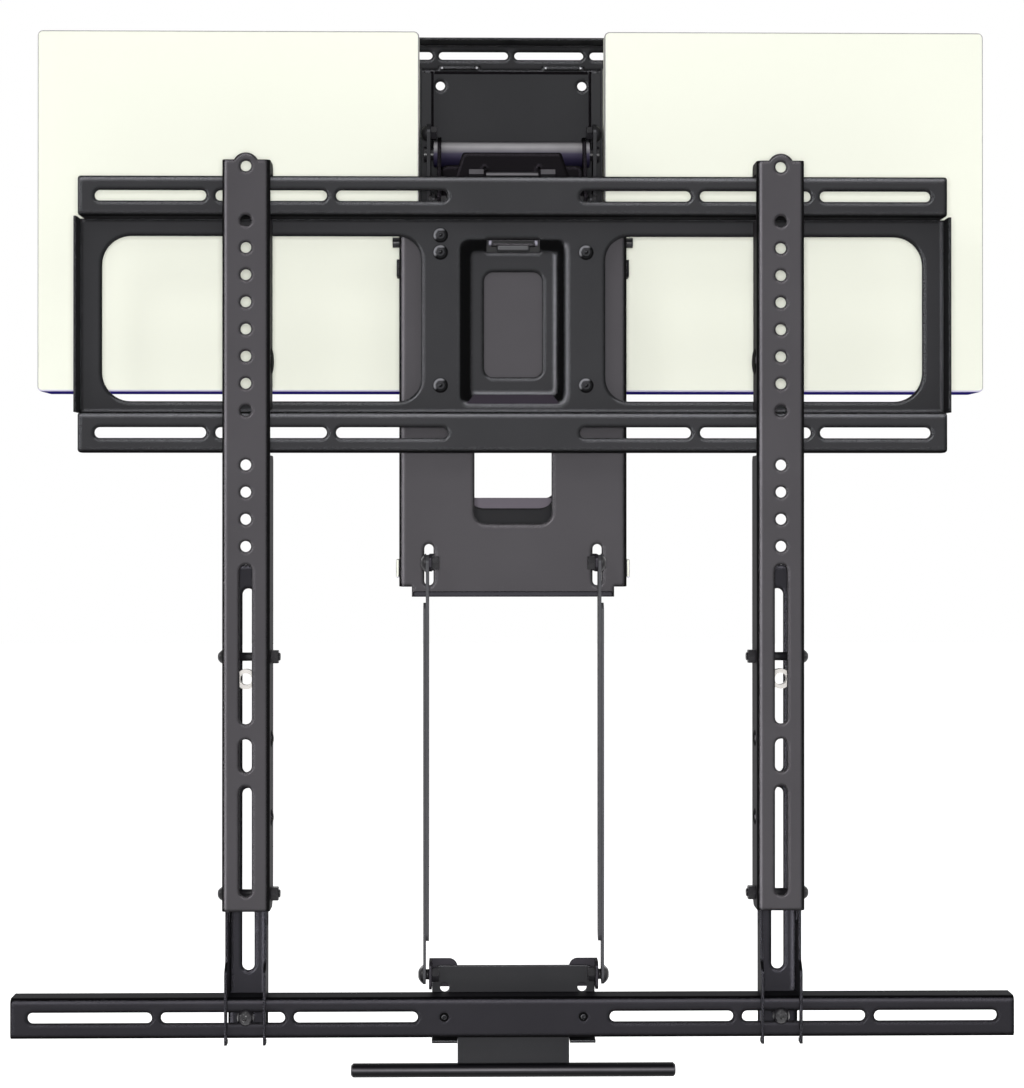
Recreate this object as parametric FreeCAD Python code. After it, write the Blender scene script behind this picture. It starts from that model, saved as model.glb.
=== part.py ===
import FreeCAD, Part
import math
import os

V = FreeCAD.Vector

# Pull-down wall mount, millimetres. The wall is the plane y = 0 and the mount stands in front of it, at y < 0.
# The origin lies on the wall, midway between the two rows of wall screws. +X is to the viewer's right.
# A "depth" below is the distance in front of the wall, so y = -depth.

# Sheet steel and fits
sheet = 2.5
arm_sheet = 3.5
link_sheet = 3.0
run_gap = 0.06            # radial gap of a turning pin
side_gap = 2.0            # between plates that pass each other
slide_gap = 0.5           # beside parts that slide
bend_radius = 4.5         # outside of a bend in sheet
small_corner = 3.0
corner = 6.0
big_corner = 8.0
pin_fit = 0.3             # between pieces that turn beside each other
cut_past = 1.0            # how far a cut runs past the metal

# Wall rails and their screw slots
wall_rail_half_length = 310.0
wall_rail_sheet = 3.0
wall_rail_height = 27.6
wall_rail_lip = 25.5
screw_row_half_spacing = 156.0
screw_slot_length = 68.5
screw_slot_width = 8.0
screw_slot_pitch = 74.7
screw_slot_offset = 1.0   # slots sit this much above the middle of the rail

# Wall plate and cheeks
wall_half_width = 88.0
wall_plate_sheet = 3.0
wall_plate_top = 141.5
wall_plate_shoulder = -300.0
wall_plate_bottom = -377.0
wall_plate_foot_half_width = 76.0
wall_plate_hole_radius = 4.6
wall_plate_hole_spacing = 140.0
wall_plate_hole_drop = 16.0
hook_tab_inner = 30.0
hook_tab_outer = 72.5
hook_tab_height = 4.0
cable_opening_half_width = 42.0
cable_opening_top = -200.0
cable_opening_bottom = -282.0
cable_lip_height = 9.0
cable_lip_depth = 8.0
cable_lip_taper = 12.0
cheek_top_depth = 18.0
cheek_low_depth = 66.0
cheek_corner = 14.0
cheek_foot = 16.0
cheek_shoulder_rise = 32.0
cheek_flange = 6.8
cheek_flange_low = -20.0

# Covers
cover_width = 369.0
cover_top = 170.5
cover_bottom = -179.5
cover_depth = 45.0
cover_wall = 1.5
cover_side_gap = 2.0
cover_corner = 5.0
cover_front_round = 2.5
cover_notch_room = 2.0
clip_width = 20.0
clip_height = 9.0
clip_gap = 0.4
clip_places = (47.0, 205.0)   # from the cover's inner edge

# Lift mechanism: two main arms and two front links form a parallelogram
pivot_depth = 32.0
pivot_height = -217.0
arm_length = 270.0
link_forward = 30.0
link_drop = 52.0
arm_half_width = 12.0
link_half_width = 9.0
pivot_radius = 6.0
link_pin_radius = 5.0
pivot_washer = 3.0
stop_bolt_offset = 20.5
stop_bolt_radius = 4.0
arm_end_margin = 9.0
tie_bar_drop = 70.0
tie_bar_radius = 6.0
bumper_radius = 4.5
bumper_height = -35.0
pivot_washer_radius = 10.0
pivot_nut_flats = 16.0
pivot_head_radius = 9.0
pivot_head_height = 5.0
pin_tail = 2.0            # pins stand this far out of what they hold
link_collar_radius = 7.5
link_head_radius = 8.0
link_head_height = 4.5
link_nut_flats = 13.0
link_nut_length = 5.0
link_top_head = 3.0
stop_nut_flats = 12.0
stop_head_radius = 7.8
stop_head_height = 6.0
axle_head_radius = 7.3
axle_head_length = 2.6

# Gas springs: both pins lie at the same distance from the arm pivot
spring_reach = 146.0
spring_pin_radius = 5.0
spring_side_gap = 10.5
spring_eye_width = 11.0
spring_eye_radius = 9.0
spring_fork_gap = 2.5
spring_fork_height = 11.0
spring_pin_collar = 7.0
spring_keeper_length = 3.0
spring_neck_radius = 5.0
spring_neck_start = 4.0
cylinder_radius = 9.0
cylinder_bore_radius = 7.2
cylinder_start = 13.0
cylinder_length = 140.0
cylinder_end_wall = 4.0
rod_radius = 4.0
rod_length = 145.0
rod_start = 8.0

# Carrier: tube, frame, hood and kingpin
tube_radius = 12.5
tube_wall = 3.0
tube_plug_length = 20.0
tube_end_gap = 3.0
carrier_plate_forward = 12.0   # in front of the main pivots
carrier_plate_top = 40.0
carrier_plate_bottom = -72.0
carrier_neck_half_width = 40.0
web_tube_margin = 15.0
web_link_margin = 10.0
web_link_drop = 12.0
kingpin_forward = 27.5         # in front of the carrier plate
kingpin_radius = 6.0
kingpin_collar_radius = 9.0
kingpin_collar_height = 5.0
lug_half_width = 14.0
lug_sheet = 6.0
lug_top = -14.0
lug_bottom = -66.0
hood_top = 52.0
hood_bottom = -8.0
hood_top_half_width = 47.5
hood_bottom_half_width = 68.0
hood_bolt_forward = 7.5        # in front of the hood
hood_bolt_height = 29.0
hood_bolt_radius = 3.0
hood_ear_inner = 25.0
hood_ear_forward = 6.0
hood_ear_half_height = 9.0
hood_nut_flats = 10.0
hood_nut_length = 14.0

# Swivel yoke and tilt axis
yoke_sheet = 3.5
tilt_forward = 18.0            # in front of the kingpin
tilt_height = -41.0
tilt_bolt_radius = 3.5
yoke_half_height = 18.0
yoke_tilt_offset = 9.0
yoke_ear_half_height = 14.0
yoke_barrel_radius = 11.0
yoke_block_half_width = 9.0
tilt_head_radius = 4.8
tilt_head_length = 6.3
tilt_nut_flats = 9.0
tilt_nut_length = 5.0

# Front panel
panel_half_width = 107.0
panel_forward = 15.0           # in front of the tilt axis
panel_flange = 27.0
panel_top = -25.0
panel_bottom = -366.0
panel_lip_half_width = 95.0
panel_lip_height = 9.4
panel_window_half_width = 36.2
panel_window_top = -228.0
panel_window_bottom = -307.0
panel_window_corner = 11.0
panel_tab_out = 2.5
panel_tab_half_height = 8.0
panel_tab_heights = (-66.0, -349.0)
panel_tab_back = 2.0
panel_tab_front = 6.0
panel_lip_flange = 8.0
panel_hook_half_width = 20.5
panel_hook_rise = 6.0

# TV frame
frame_half_width = 406.0
frame_rail_half_length = 402.0
frame_rail_step = 20.0
frame_body_top = -22.5
frame_body_bottom = -203.5
frame_rail_height = 35.0
frame_rail_lip = 10.0
frame_bend_radius = 3.5
frame_slot_length = 103.0
frame_slot_drop = 1.0
frame_slot_width = 10.0
frame_slot_pitch = 111.3
frame_slot_first = 112.7
frame_window_inner = 86.0
frame_window_outer = 383.5
frame_window_top = -38.3
frame_window_bottom = -192.6
frame_window_outer_corner = 27.0
frame_window_inner_corner = 22.0
dish_half_width = 50.0
dish_top = -41.0
dish_bottom = -195.4
dish_slope = 10.0
dish_depth = 8.0
dish_skin = 2.0             # sheet left beside the dish's slope
dish_notch_half_width = 25.0
dish_notch_rise = 11.0
dish_window_half_width = 27.3
dish_window_top = -70.7
dish_window_bottom = -169.5
dish_window_corner = 9.0
frame_bolt_x = 68.0
frame_bolt_heights = (-53.3, -177.6)
frame_extra_bolt_height = -37.4
frame_bolt_radius = 3.0
frame_bolt_flats = 8.0
frame_bolt_head = 3.0
frame_washer_radius = 6.0
frame_washer_sheet = 1.2
frame_nut_flats = 10.0
frame_nut_length = 5.0
frame_spacer_radius = 7.0

# Upright TV brackets
bracket_x = 246.5
bracket_step = 7.5             # bracket face in front of the frame rails
bracket_half_width = 22.0
bracket_top = 28.5
bracket_bottom = -663.0
bracket_flange = 35.0
bracket_room = 2.5            # round the frame's rails
bracket_rail_gap = 1.0
bracket_hook_sheet = 9.0
bracket_hook_drop = 12.0
bracket_foot_chamfer = 9.0
bracket_nut_flats = 12.0
bracket_nut_length = 8.8
bracket_head_radius = 6.6
bracket_head_height = 5.4
bracket_hole_radius = 5.0
bracket_hole_top = 22.5
bracket_hole_pitch = 25.0
bracket_hole_steps = (0, 2, 3, 4, 5, 6, 7, 8, 9, 11, 12, 13, 14)
bracket_ear_radius = 12.4
bracket_slots = ((-344.2, -490.9), (-504.7, -535.0), (-548.0, -649.0))
bracket_slot_width = 11.4
bracket_bolt_behind = 14.0     # behind the bracket face
bracket_bolt_heights = (-429.7, -648.7)
bracket_bolt_radius = 4.0
ring_height = -449.7
ring_radius = 9.2
ring_bore = 5.5
ring_length = 8.0

# Inner channels that carry the soundbar rail
height_travel_down = 60.0
height_travel_up = 25.0
inner_web_behind = 24.0        # behind the bracket face
inner_top = -345.0
inner_bottom = -778.0
inner_hook_forward = 6.0       # in front of the soundbar rail
inner_hook_top = -709.0
inner_slots = ((-367.0, -538.6), (-552.6, -722.0))
inner_slot_width = 11.4
inner_rail_gap = 0.9            # round the soundbar rail
inner_toe_height = 3.5
inner_toe_reach = 10.0
inner_top_chamfer = 5.0
inner_hook_slope = 9.0

# Soundbar rail, handle bracket and handle
rail_half_length = 462.0
rail_behind = 1.0              # behind the bracket face
rail_height = 37.5
rail_top = -742.5
rail_top_flange = 22.5
rail_bottom_lip = 16.0
rail_slot_length = 114.0
rail_slot_width = 10.0
rail_slot_pitch = 122.0
rail_slot_first = 145.3
rail_slot_drop = 17.8
rail_bolt_x = 64.0
rail_bolt_radius = 2.5
rail_bolt_sleeve = 5.0
rail_bolt_head_radius = 4.2
rail_bolt_head = 2.0
rail_bolt_flats = 8.0
rail_bolt_nut = 4.0
clamp_radius = 4.0
clamp_head_radius = 7.8
clamp_head_height = 5.8
clamp_nut_flats = 13.0
clamp_nut_length = 7.0
handle_plate_half_width = 75.7
handle_plate_top = -718.0
handle_plate_bottom = -786.0
handle_tab = 16.5
handle_stem_half_width = 52.0
handle_hole_height = -738.4
handle_hole_radius = 4.2
handle_radius = 6.5
handle_half_length = 151.0
handle_height = -815.5
handle_chamfer = 1.8

# Straps between front panel and handle bracket
strap_forward = 7.0            # strap middle in front of the handle plate
strap_half_depth = 9.0
strap_upper_sheet = 2.8
strap_lower_sheet = 2.3
strap_play = 0.1
strap_ear_inner = 75.8
strap_ear_foot = 26.3
strap_ear_forward = 8.0
upper_ear_reach = 8.0
lower_ear_reach = (13.5, 12.5)   # below and above the bolt
strap_nut_flats = 12.0
strap_nut_length = 6.8
strap_head_radius = 8.8
strap_head_height = 5.2
strap_spacer_radius = 4.8
strap_top_bolt_height = -343.0
strap_low_bolt_height = -724.5
strap_bolt_radius = 3.5
strap_end_margin = 7.5
upper_strap_bottom = -693.5
lower_strap_top = -380.0
strap_hole_radius = 3.0
strap_hole_pitch = 25.0
panel_slot_x = 79.0
panel_slot_width = 8.6
panel_slot_heights = (-326.0, -364.6)

# Places worked out from the dimensions above
cheek_inner = wall_half_width - sheet
arm_outer = cheek_inner - pivot_washer
arm_inner = arm_outer - arm_sheet
link_outer = arm_inner - side_gap
link_inner = link_outer - link_sheet
web_outer = link_inner - side_gap
web_inner = web_outer - arm_sheet
spring_x = web_inner - spring_side_gap
plate_front = wall_rail_sheet + wall_plate_sheet
arm_top = pivot_height + arm_length
link_depth = pivot_depth + link_forward
link_low = pivot_height - link_drop
link_high = link_low + arm_length
spring_low = pivot_height - spring_reach
spring_high = pivot_height + spring_reach
tie_height = arm_top - tie_bar_drop
stop_height = arm_top + stop_bolt_offset
tube_half_length = arm_inner - tube_end_gap
cover_inner = wall_half_width + cover_side_gap
cover_outer = cover_inner + cover_width
rail_upper_edge = screw_row_half_spacing - screw_slot_offset + wall_rail_height / 2
rail_lower_edge = rail_upper_edge - wall_rail_height
carrier_plate_depth = pivot_depth + carrier_plate_forward
carrier_plate_front = carrier_plate_depth + sheet
hood_face = carrier_plate_front + link_sheet
hood_bolt_depth = hood_face + hood_bolt_forward
kingpin_depth = carrier_plate_front + kingpin_forward
tilt_depth = kingpin_depth + tilt_forward
yoke_back = tilt_depth - yoke_tilt_offset
yoke_ear_outer = panel_half_width - sheet - slide_gap
yoke_ear_inner = yoke_ear_outer - yoke_sheet
panel_depth = tilt_depth + panel_forward
panel_back = panel_depth - sheet
panel_flange_depth = panel_depth - panel_flange
frame_body_depth = panel_depth + dish_depth + sheet
frame_rail_depth = frame_body_depth + frame_rail_step
frame_upper_rail_bottom = frame_body_top + sheet
frame_lower_rail_top = frame_body_bottom - sheet
strap_upper_inner = strap_ear_inner + sheet + strap_play
strap_upper_outer = strap_upper_inner + strap_upper_sheet
strap_lower_inner = strap_upper_outer + strap_play
strap_lower_outer = strap_lower_inner + strap_lower_sheet
bracket_depth = frame_rail_depth + bracket_step
bracket_back_depth = bracket_depth - bracket_flange
bracket_bolt_depth = bracket_depth - bracket_bolt_behind
inner_half_width = bracket_half_width - sheet - slide_gap
inner_web_depth = bracket_depth - inner_web_behind
inner_back_depth = inner_web_depth - sheet
inner_front_depth = bracket_depth - sheet - 2 * slide_gap
rail_depth = bracket_depth - rail_behind
rail_back_depth = rail_depth - rail_top_flange
inner_hook_depth = rail_depth + inner_hook_forward
rail_bottom = rail_top - rail_height
rail_slot_height = rail_top - rail_slot_drop
handle_plate_back = rail_back_depth - sheet
handle_depth = rail_back_depth - sheet / 2
handle_tab_depth = rail_back_depth + handle_tab
strap_depth = rail_back_depth + strap_forward
spring_fork_half = spring_eye_width / 2 + spring_fork_gap
through = 2 * wall_half_width


# Basic solids. Depth is measured forward from the wall.
def box(x0, x1, d0, d1, z0, z1):
    corner = V(min(x0, x1), -max(d0, d1), min(z0, z1))
    return Part.makeBox(abs(x1 - x0), abs(d1 - d0), abs(z1 - z0), corner)


def rod_x(radius, x0, x1, depth, z):
    return Part.makeCylinder(radius, abs(x1 - x0), V(min(x0, x1), -depth, z), V(1, 0, 0))


def rod_y(radius, x, d0, d1, z):
    return Part.makeCylinder(radius, abs(d1 - d0), V(x, -max(d0, d1), z), V(0, 1, 0))


def rod_z(radius, x, depth, z0, z1):
    return Part.makeCylinder(radius, abs(z1 - z0), V(x, -depth, min(z0, z1)))


def hex_x(flats, x0, x1, depth, z):
    corner = flats / math.sqrt(3)
    angles = [math.radians(60 * i) for i in range(7)]
    points = [V(min(x0, x1), -depth + corner * math.cos(a), z + corner * math.sin(a)) for a in angles]
    return Part.Face(Part.makePolygon(points)).extrude(V(abs(x1 - x0), 0, 0))


def hex_y(flats, x, d0, d1, z):
    corner = flats / math.sqrt(3)
    angles = [math.radians(60 * i + 30) for i in range(7)]
    points = [V(x + corner * math.cos(a), -min(d0, d1), z + corner * math.sin(a)) for a in angles]
    return Part.Face(Part.makePolygon(points)).extrude(V(0, -abs(d1 - d0), 0))


def dome(radius, height, base, direction):
    big = (radius * radius + height * height) / (2 * height)
    ball = Part.makeSphere(big, base + direction * (height - big))
    return ball.common(Part.makeCylinder(radius, height, base, direction))


def dome_x(radius, height, x, depth, z):
    return dome(radius, height, V(x, -depth, z), V(1, 0, 0))


def join(shapes):
    first = shapes[0]
    return first.fuse(shapes[1:]).removeSplitter() if len(shapes) > 1 else first


def cut(shape, tools):
    return shape.cut(tools) if tools else shape


def together(shapes):
    return Part.makeCompound(shapes)


def mirrored(shape):
    return shape.mirror(V(0, 0, 0), V(1, 0, 0))


def both_sides(shape):
    return together([shape, mirrored(shape)])


def moved(shape, x):
    copy = shape.copy()
    copy.translate(V(x, 0, 0))
    return copy


def rounded_wire(points, place):
    """A closed outline. Each point is (u, v) or (u, v, corner radius)."""
    edges = []
    ends = []
    count = len(points)
    for i, point in enumerate(points):
        before = points[i - 1]
        after = points[(i + 1) % count]
        radius = point[2] if len(point) > 2 else 0.0
        a = V(before[0] - point[0], before[1] - point[1], 0)
        b = V(after[0] - point[0], after[1] - point[1], 0)
        a.normalize()
        b.normalize()
        centre = V(point[0], point[1], 0)
        if radius <= 0:
            ends.append((centre, None, centre))
            continue
        half = a.getAngle(b) / 2
        reach = radius / math.tan(half)
        middle = a + b
        middle.normalize()
        near = centre + middle * (radius / math.sin(half) - radius)
        ends.append((centre + a * reach, near, centre + b * reach))
    for i, (start, near, end) in enumerate(ends):
        if near is not None:
            edges.append(Part.Arc(place(start), place(near), place(end)).toShape())
        following = ends[(i + 1) % count][0]
        if (following - end).Length > 1e-6:
            edges.append(Part.LineSegment(place(end), place(following)).toShape())
    return Part.Wire(edges)


def plate_xz(points, d0, d1):
    """A flat plate facing the viewer, from points (x, z)."""
    back = min(d0, d1)
    wire = rounded_wire(points, lambda p: V(p.x, -back, p.y))
    return Part.Face(wire).extrude(V(0, -abs(d1 - d0), 0))


def plate_yz(points, x0, x1):
    """A flat plate seen from the side, from points (depth, z)."""
    wire = rounded_wire(points, lambda p: V(min(x0, x1), -p.x, p.y))
    return Part.Face(wire).extrude(V(abs(x1 - x0), 0, 0))


def rounded_box(x0, x1, z0, z1, radius, d0, d1):
    return plate_xz([(x0, z0, radius), (x1, z0, radius), (x1, z1, radius), (x0, z1, radius)], d0, d1)


def slot_x(x, z, length, width, d0, d1):
    straight = length / 2 - width / 2
    ends = [rod_y(width / 2, x - straight, d0, d1, z), rod_y(width / 2, x + straight, d0, d1, z)]
    return join([box(x - straight, x + straight, d0, d1, z - width / 2, z + width / 2)] + ends)


def slot_z(x, z0, z1, width, d0, d1):
    top = max(z0, z1) - width / 2
    low = min(z0, z1) + width / 2
    ends = [rod_y(width / 2, x, d0, d1, low), rod_y(width / 2, x, d0, d1, top)]
    return join([box(x - width / 2, x + width / 2, d0, d1, low, top)] + ends)


def inside_bend(radius=bend_radius):
    return max(radius - sheet, 0.5)


def upright_channel(half, web_depth, edge_depth, z0, z1):
    """A sheet channel standing upright: its web at web_depth, its flanges reaching to edge_depth."""
    toward = 1 if edge_depth > web_depth else -1
    inner_web = web_depth + toward * sheet
    inner = half - sheet
    points = [(-half, edge_depth), (-half, web_depth, bend_radius), (half, web_depth, bend_radius),
              (half, edge_depth), (inner, edge_depth), (inner, inner_web, inside_bend()),
              (-inner, inner_web, inside_bend()), (-inner, edge_depth)]
    wire = rounded_wire(points, lambda p: V(p.x, -p.y, min(z0, z1)))
    return Part.Face(wire).extrude(V(0, 0, abs(z1 - z0)))


def bar_yz(z0, z1, half_width, depth, x0, x1):
    """A bar with round ends, standing upright, centres at z0 and z1."""
    ends = [rod_x(half_width, x0, x1, depth, z0), rod_x(half_width, x0, x1, depth, z1)]
    return join([box(x0, x1, depth - half_width, depth + half_width, z0, z1)] + ends)


def edges_at_depth(shape, depth):
    return [edge for edge in shape.Edges if all(abs(v.Point.y + depth) < 1e-6 for v in edge.Vertexes)]


def export(name, shape):
    shape.exportStep("parts/" + name + ".step")


# Wall rails, plate and cheeks
def screw_slots(z):
    slots = []
    reach = int(wall_rail_half_length // screw_slot_pitch)
    for i in range(reach):
        x = (i + 0.5) * screw_slot_pitch
        for side in (-1, 1):
            slots.append(slot_x(side * x, z, screw_slot_length, screw_slot_width, -cut_past,
                                plate_front + cut_past))
    return slots


def wall_rail(upper):
    sign = 1 if upper else -1
    half = wall_rail_half_length
    web = box(-half, half, 0, wall_rail_sheet, sign * rail_lower_edge, sign * rail_upper_edge)
    if upper:
        lip_low = rail_upper_edge - sheet
        lip = box(-half, half, 0, wall_rail_lip, lip_low, rail_upper_edge)
        web = join([web, lip])
    return cut(web, screw_slots(sign * screw_row_half_spacing))


def wall_plate():
    half = wall_half_width
    foot = wall_plate_foot_half_width
    outline = [(-half, wall_plate_top), (-half, wall_plate_shoulder, corner),
               (-foot, wall_plate_shoulder, small_corner), (-foot, wall_plate_bottom, big_corner),
               (foot, wall_plate_bottom, big_corner), (foot, wall_plate_shoulder, small_corner),
               (half, wall_plate_shoulder, corner), (half, wall_plate_top)]
    pieces = [plate_xz(outline, wall_rail_sheet, plate_front)]
    tab_top = wall_plate_top + hook_tab_height
    for side in (-1, 1):
        pieces.append(box(side * hook_tab_inner, side * hook_tab_outer, wall_rail_sheet, plate_front,
                          wall_plate_top, tab_top))
    opening = cable_opening_half_width
    lip_bottom = cable_opening_bottom - cable_lip_height
    lip_half = opening - cable_lip_taper
    lip = [(-opening, cable_opening_bottom), (opening, cable_opening_bottom), (lip_half, lip_bottom, small_corner),
           (-lip_half, lip_bottom, small_corner)]
    pieces.append(plate_xz(lip, plate_front, plate_front + cable_lip_depth))
    holes = screw_slots(-screw_row_half_spacing)
    holes.append(rounded_box(-opening, opening, cable_opening_bottom, cable_opening_top, big_corner,
                             0, plate_front + cut_past))
    hole_z = wall_plate_top - wall_plate_hole_drop
    for side in (-1, 1):
        holes.append(rod_y(wall_plate_hole_radius, side * wall_plate_hole_spacing / 2, 0, plate_front + cut_past,
                           hole_z))
    return cut(join(pieces), holes)


def cheek():
    low = wall_plate_shoulder
    outline = [(plate_front, low), (cheek_low_depth - cheek_corner, low, corner),
               (cheek_low_depth, low + cheek_foot, big_corner),
               (cheek_low_depth, pivot_height + cheek_shoulder_rise, cheek_corner),
               (cheek_top_depth, tilt_height, cheek_corner), (cheek_top_depth, wall_plate_top, corner),
               (plate_front, wall_plate_top)]
    flange = box(cheek_inner - cheek_flange, wall_half_width, cheek_top_depth - sheet, cheek_top_depth,
                 cheek_flange_low, wall_plate_top - corner)
    plate = join([plate_yz(outline, cheek_inner, wall_half_width), flange])
    arm_hole = rod_x(pivot_radius, 0, through, pivot_depth, pivot_height)
    link_hole = rod_x(link_pin_radius, 0, through, link_depth, link_low)
    return cut(plate, [arm_hole, link_hole])


def cover():
    outline = [(cover_inner, cover_bottom, cover_corner), (cover_outer, cover_bottom, cover_corner),
               (cover_outer, cover_top, cover_corner), (cover_inner, cover_top, cover_corner)]
    inside = [(cover_inner + cover_wall, cover_bottom + cover_wall, cover_corner - cover_wall),
              (cover_outer - cover_wall, cover_bottom + cover_wall, cover_corner - cover_wall),
              (cover_outer - cover_wall, cover_top - cover_wall, cover_corner - cover_wall),
              (cover_inner + cover_wall, cover_top - cover_wall, cover_corner - cover_wall)]
    shell = plate_xz(outline, 0, cover_depth)
    shell = shell.makeFillet(cover_front_round, edges_at_depth(shell, cover_depth))
    hollow = plate_xz(inside, -cut_past, cover_depth - cover_wall)
    wall_edge = cover_inner + cover_corner
    start = cover_inner - cut_past
    room = cover_notch_room
    upper_notch = box(start, wall_edge, -cut_past, wall_rail_lip + room / 2, rail_lower_edge - room,
                      cover_top - cover_wall)
    lower_notch = box(start, wall_edge, -cut_past, plate_front, -rail_upper_edge - room, -rail_lower_edge + room)
    return cut(shell, [hollow, upper_notch, lower_notch])


def cover_clips():
    clips = []
    face = cover_depth - cover_wall
    for place in clip_places:
        x0 = cover_inner + place
        x1 = x0 + clip_width
        for sign in (-1, 1):
            low = sign * (rail_lower_edge + clip_gap)
            high = low + sign * clip_height
            leg_top = low + sign * sheet
            foot = box(x0, x1, wall_rail_sheet, wall_rail_sheet + sheet, low, high)
            leg = box(x0, x1, wall_rail_sheet, face, low, leg_top)
            pad = box(x0, x1, face - sheet, face, low, high)
            clips.append(join([foot, leg, pad]))
    return together(clips + [mirrored(clip) for clip in clips])


def arm_bumpers():
    middle = (arm_inner + arm_outer) / 2
    arm_back = pivot_depth - arm_half_width
    return both_sides(rod_y(bumper_radius, middle, plate_front, arm_back - pin_fit, bumper_height))


def arm_pivot_bolts():
    end = link_inner - pin_tail / 2
    shank = rod_x(pivot_radius, end, wall_half_width, pivot_depth, pivot_height)
    washer = rod_x(pivot_washer_radius, arm_outer, cheek_inner, pivot_depth, pivot_height)
    nut = hex_x(pivot_nut_flats, end, arm_inner - slide_gap, pivot_depth, pivot_height)
    head = dome_x(pivot_head_radius, pivot_head_height, wall_half_width, pivot_depth, pivot_height)
    return both_sides(join([shank, washer, nut, head]))


def link_pivot_bolts():
    end = link_inner - pin_tail
    shank = rod_x(link_pin_radius, end, wall_half_width, link_depth, link_low)
    sleeve = rod_x(link_collar_radius, link_outer, cheek_inner, link_depth, link_low)
    keeper = rod_x(link_collar_radius, end, link_inner, link_depth, link_low)
    head = dome_x(link_head_radius, link_head_height, wall_half_width, link_depth, link_low)
    return both_sides(join([shank, sleeve, keeper, head]))


def spring_anchors():
    outer = spring_fork_half + link_sheet
    base_half = spring_fork_height + link_sheet
    base = box(spring_x - outer, spring_x + outer, plate_front, plate_front + link_sheet,
               spring_low - base_half, spring_low + base_half)
    pieces = [base]
    front = pivot_depth + spring_fork_height - cut_past
    for side in (-1, 1):
        outline = [(plate_front, spring_low - spring_fork_height),
                   (front, spring_low - spring_fork_height + cut_past, big_corner),
                   (front, spring_low + spring_fork_height - cut_past, big_corner),
                   (plate_front, spring_low + spring_fork_height)]
        x0 = spring_x + side * spring_fork_half
        pieces.append(plate_yz(outline, x0, x0 + side * link_sheet))
    hole = rod_x(spring_pin_radius, 0, through, pivot_depth, spring_low)
    return both_sides(cut(join(pieces), [hole]))


def lower_spring_pins():
    half = spring_fork_half + link_sheet
    end = half + pin_tail
    shank = rod_x(spring_pin_radius, spring_x - half, spring_x + half, pivot_depth, spring_low)
    head = rod_x(spring_pin_collar, spring_x + half, spring_x + end, pivot_depth, spring_low)
    tail = rod_x(spring_pin_collar, spring_x - end, spring_x - half, pivot_depth, spring_low)
    return both_sides(join([shank, head, tail]))


# Main arms
def main_arm():
    end = stop_height + arm_end_margin - arm_half_width
    bar = bar_yz(pivot_height, end, arm_half_width, pivot_depth, arm_inner, arm_outer)
    holes = [rod_x(pivot_radius + run_gap, 0, through, pivot_depth, pivot_height),
             rod_x(pivot_radius + run_gap, 0, through, pivot_depth, arm_top),
             rod_x(spring_pin_radius, 0, through, pivot_depth, spring_high),
             rod_x(stop_bolt_radius, 0, through, pivot_depth, stop_height)]
    return cut(bar, holes)


def arm_tie_bar():
    return rod_x(tie_bar_radius, -arm_inner, arm_inner, pivot_depth, tie_height)


def stop_bolts():
    end = web_outer + side_gap / 2
    shank = rod_x(stop_bolt_radius, end, arm_outer, pivot_depth, stop_height)
    nut = hex_x(stop_nut_flats, end, arm_inner, pivot_depth, stop_height)
    head = dome_x(stop_head_radius, stop_head_height, arm_outer, pivot_depth, stop_height)
    return both_sides(join([shank, nut, head]))


def upper_spring_pins():
    inner_end = spring_x - spring_eye_width / 2 - pin_tail
    keeper_end = inner_end + spring_keeper_length / 2
    shank = rod_x(spring_pin_radius, inner_end, arm_outer, pivot_depth, spring_high)
    keeper = rod_x(spring_pin_collar, keeper_end - spring_keeper_length, keeper_end, pivot_depth, spring_high)
    return both_sides(join([shank, keeper]))


# Front links
def front_link():
    bar = bar_yz(link_low, link_high, link_half_width, link_depth, link_inner, link_outer)
    holes = [rod_x(link_pin_radius + run_gap, 0, through, link_depth, z) for z in (link_low, link_high)]
    return cut(bar, holes)


# Carrier that the arms hold up
def pivot_tube():
    half = tube_half_length
    tube = rod_x(tube_radius, -half, half, pivot_depth, arm_top)
    plug_start = half - tube_plug_length
    hollow = rod_x(tube_radius - tube_wall, -plug_start, plug_start, pivot_depth, arm_top)
    bore = rod_x(pivot_radius, -half, half, pivot_depth, arm_top)
    return cut(tube, [hollow, bore])


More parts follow.
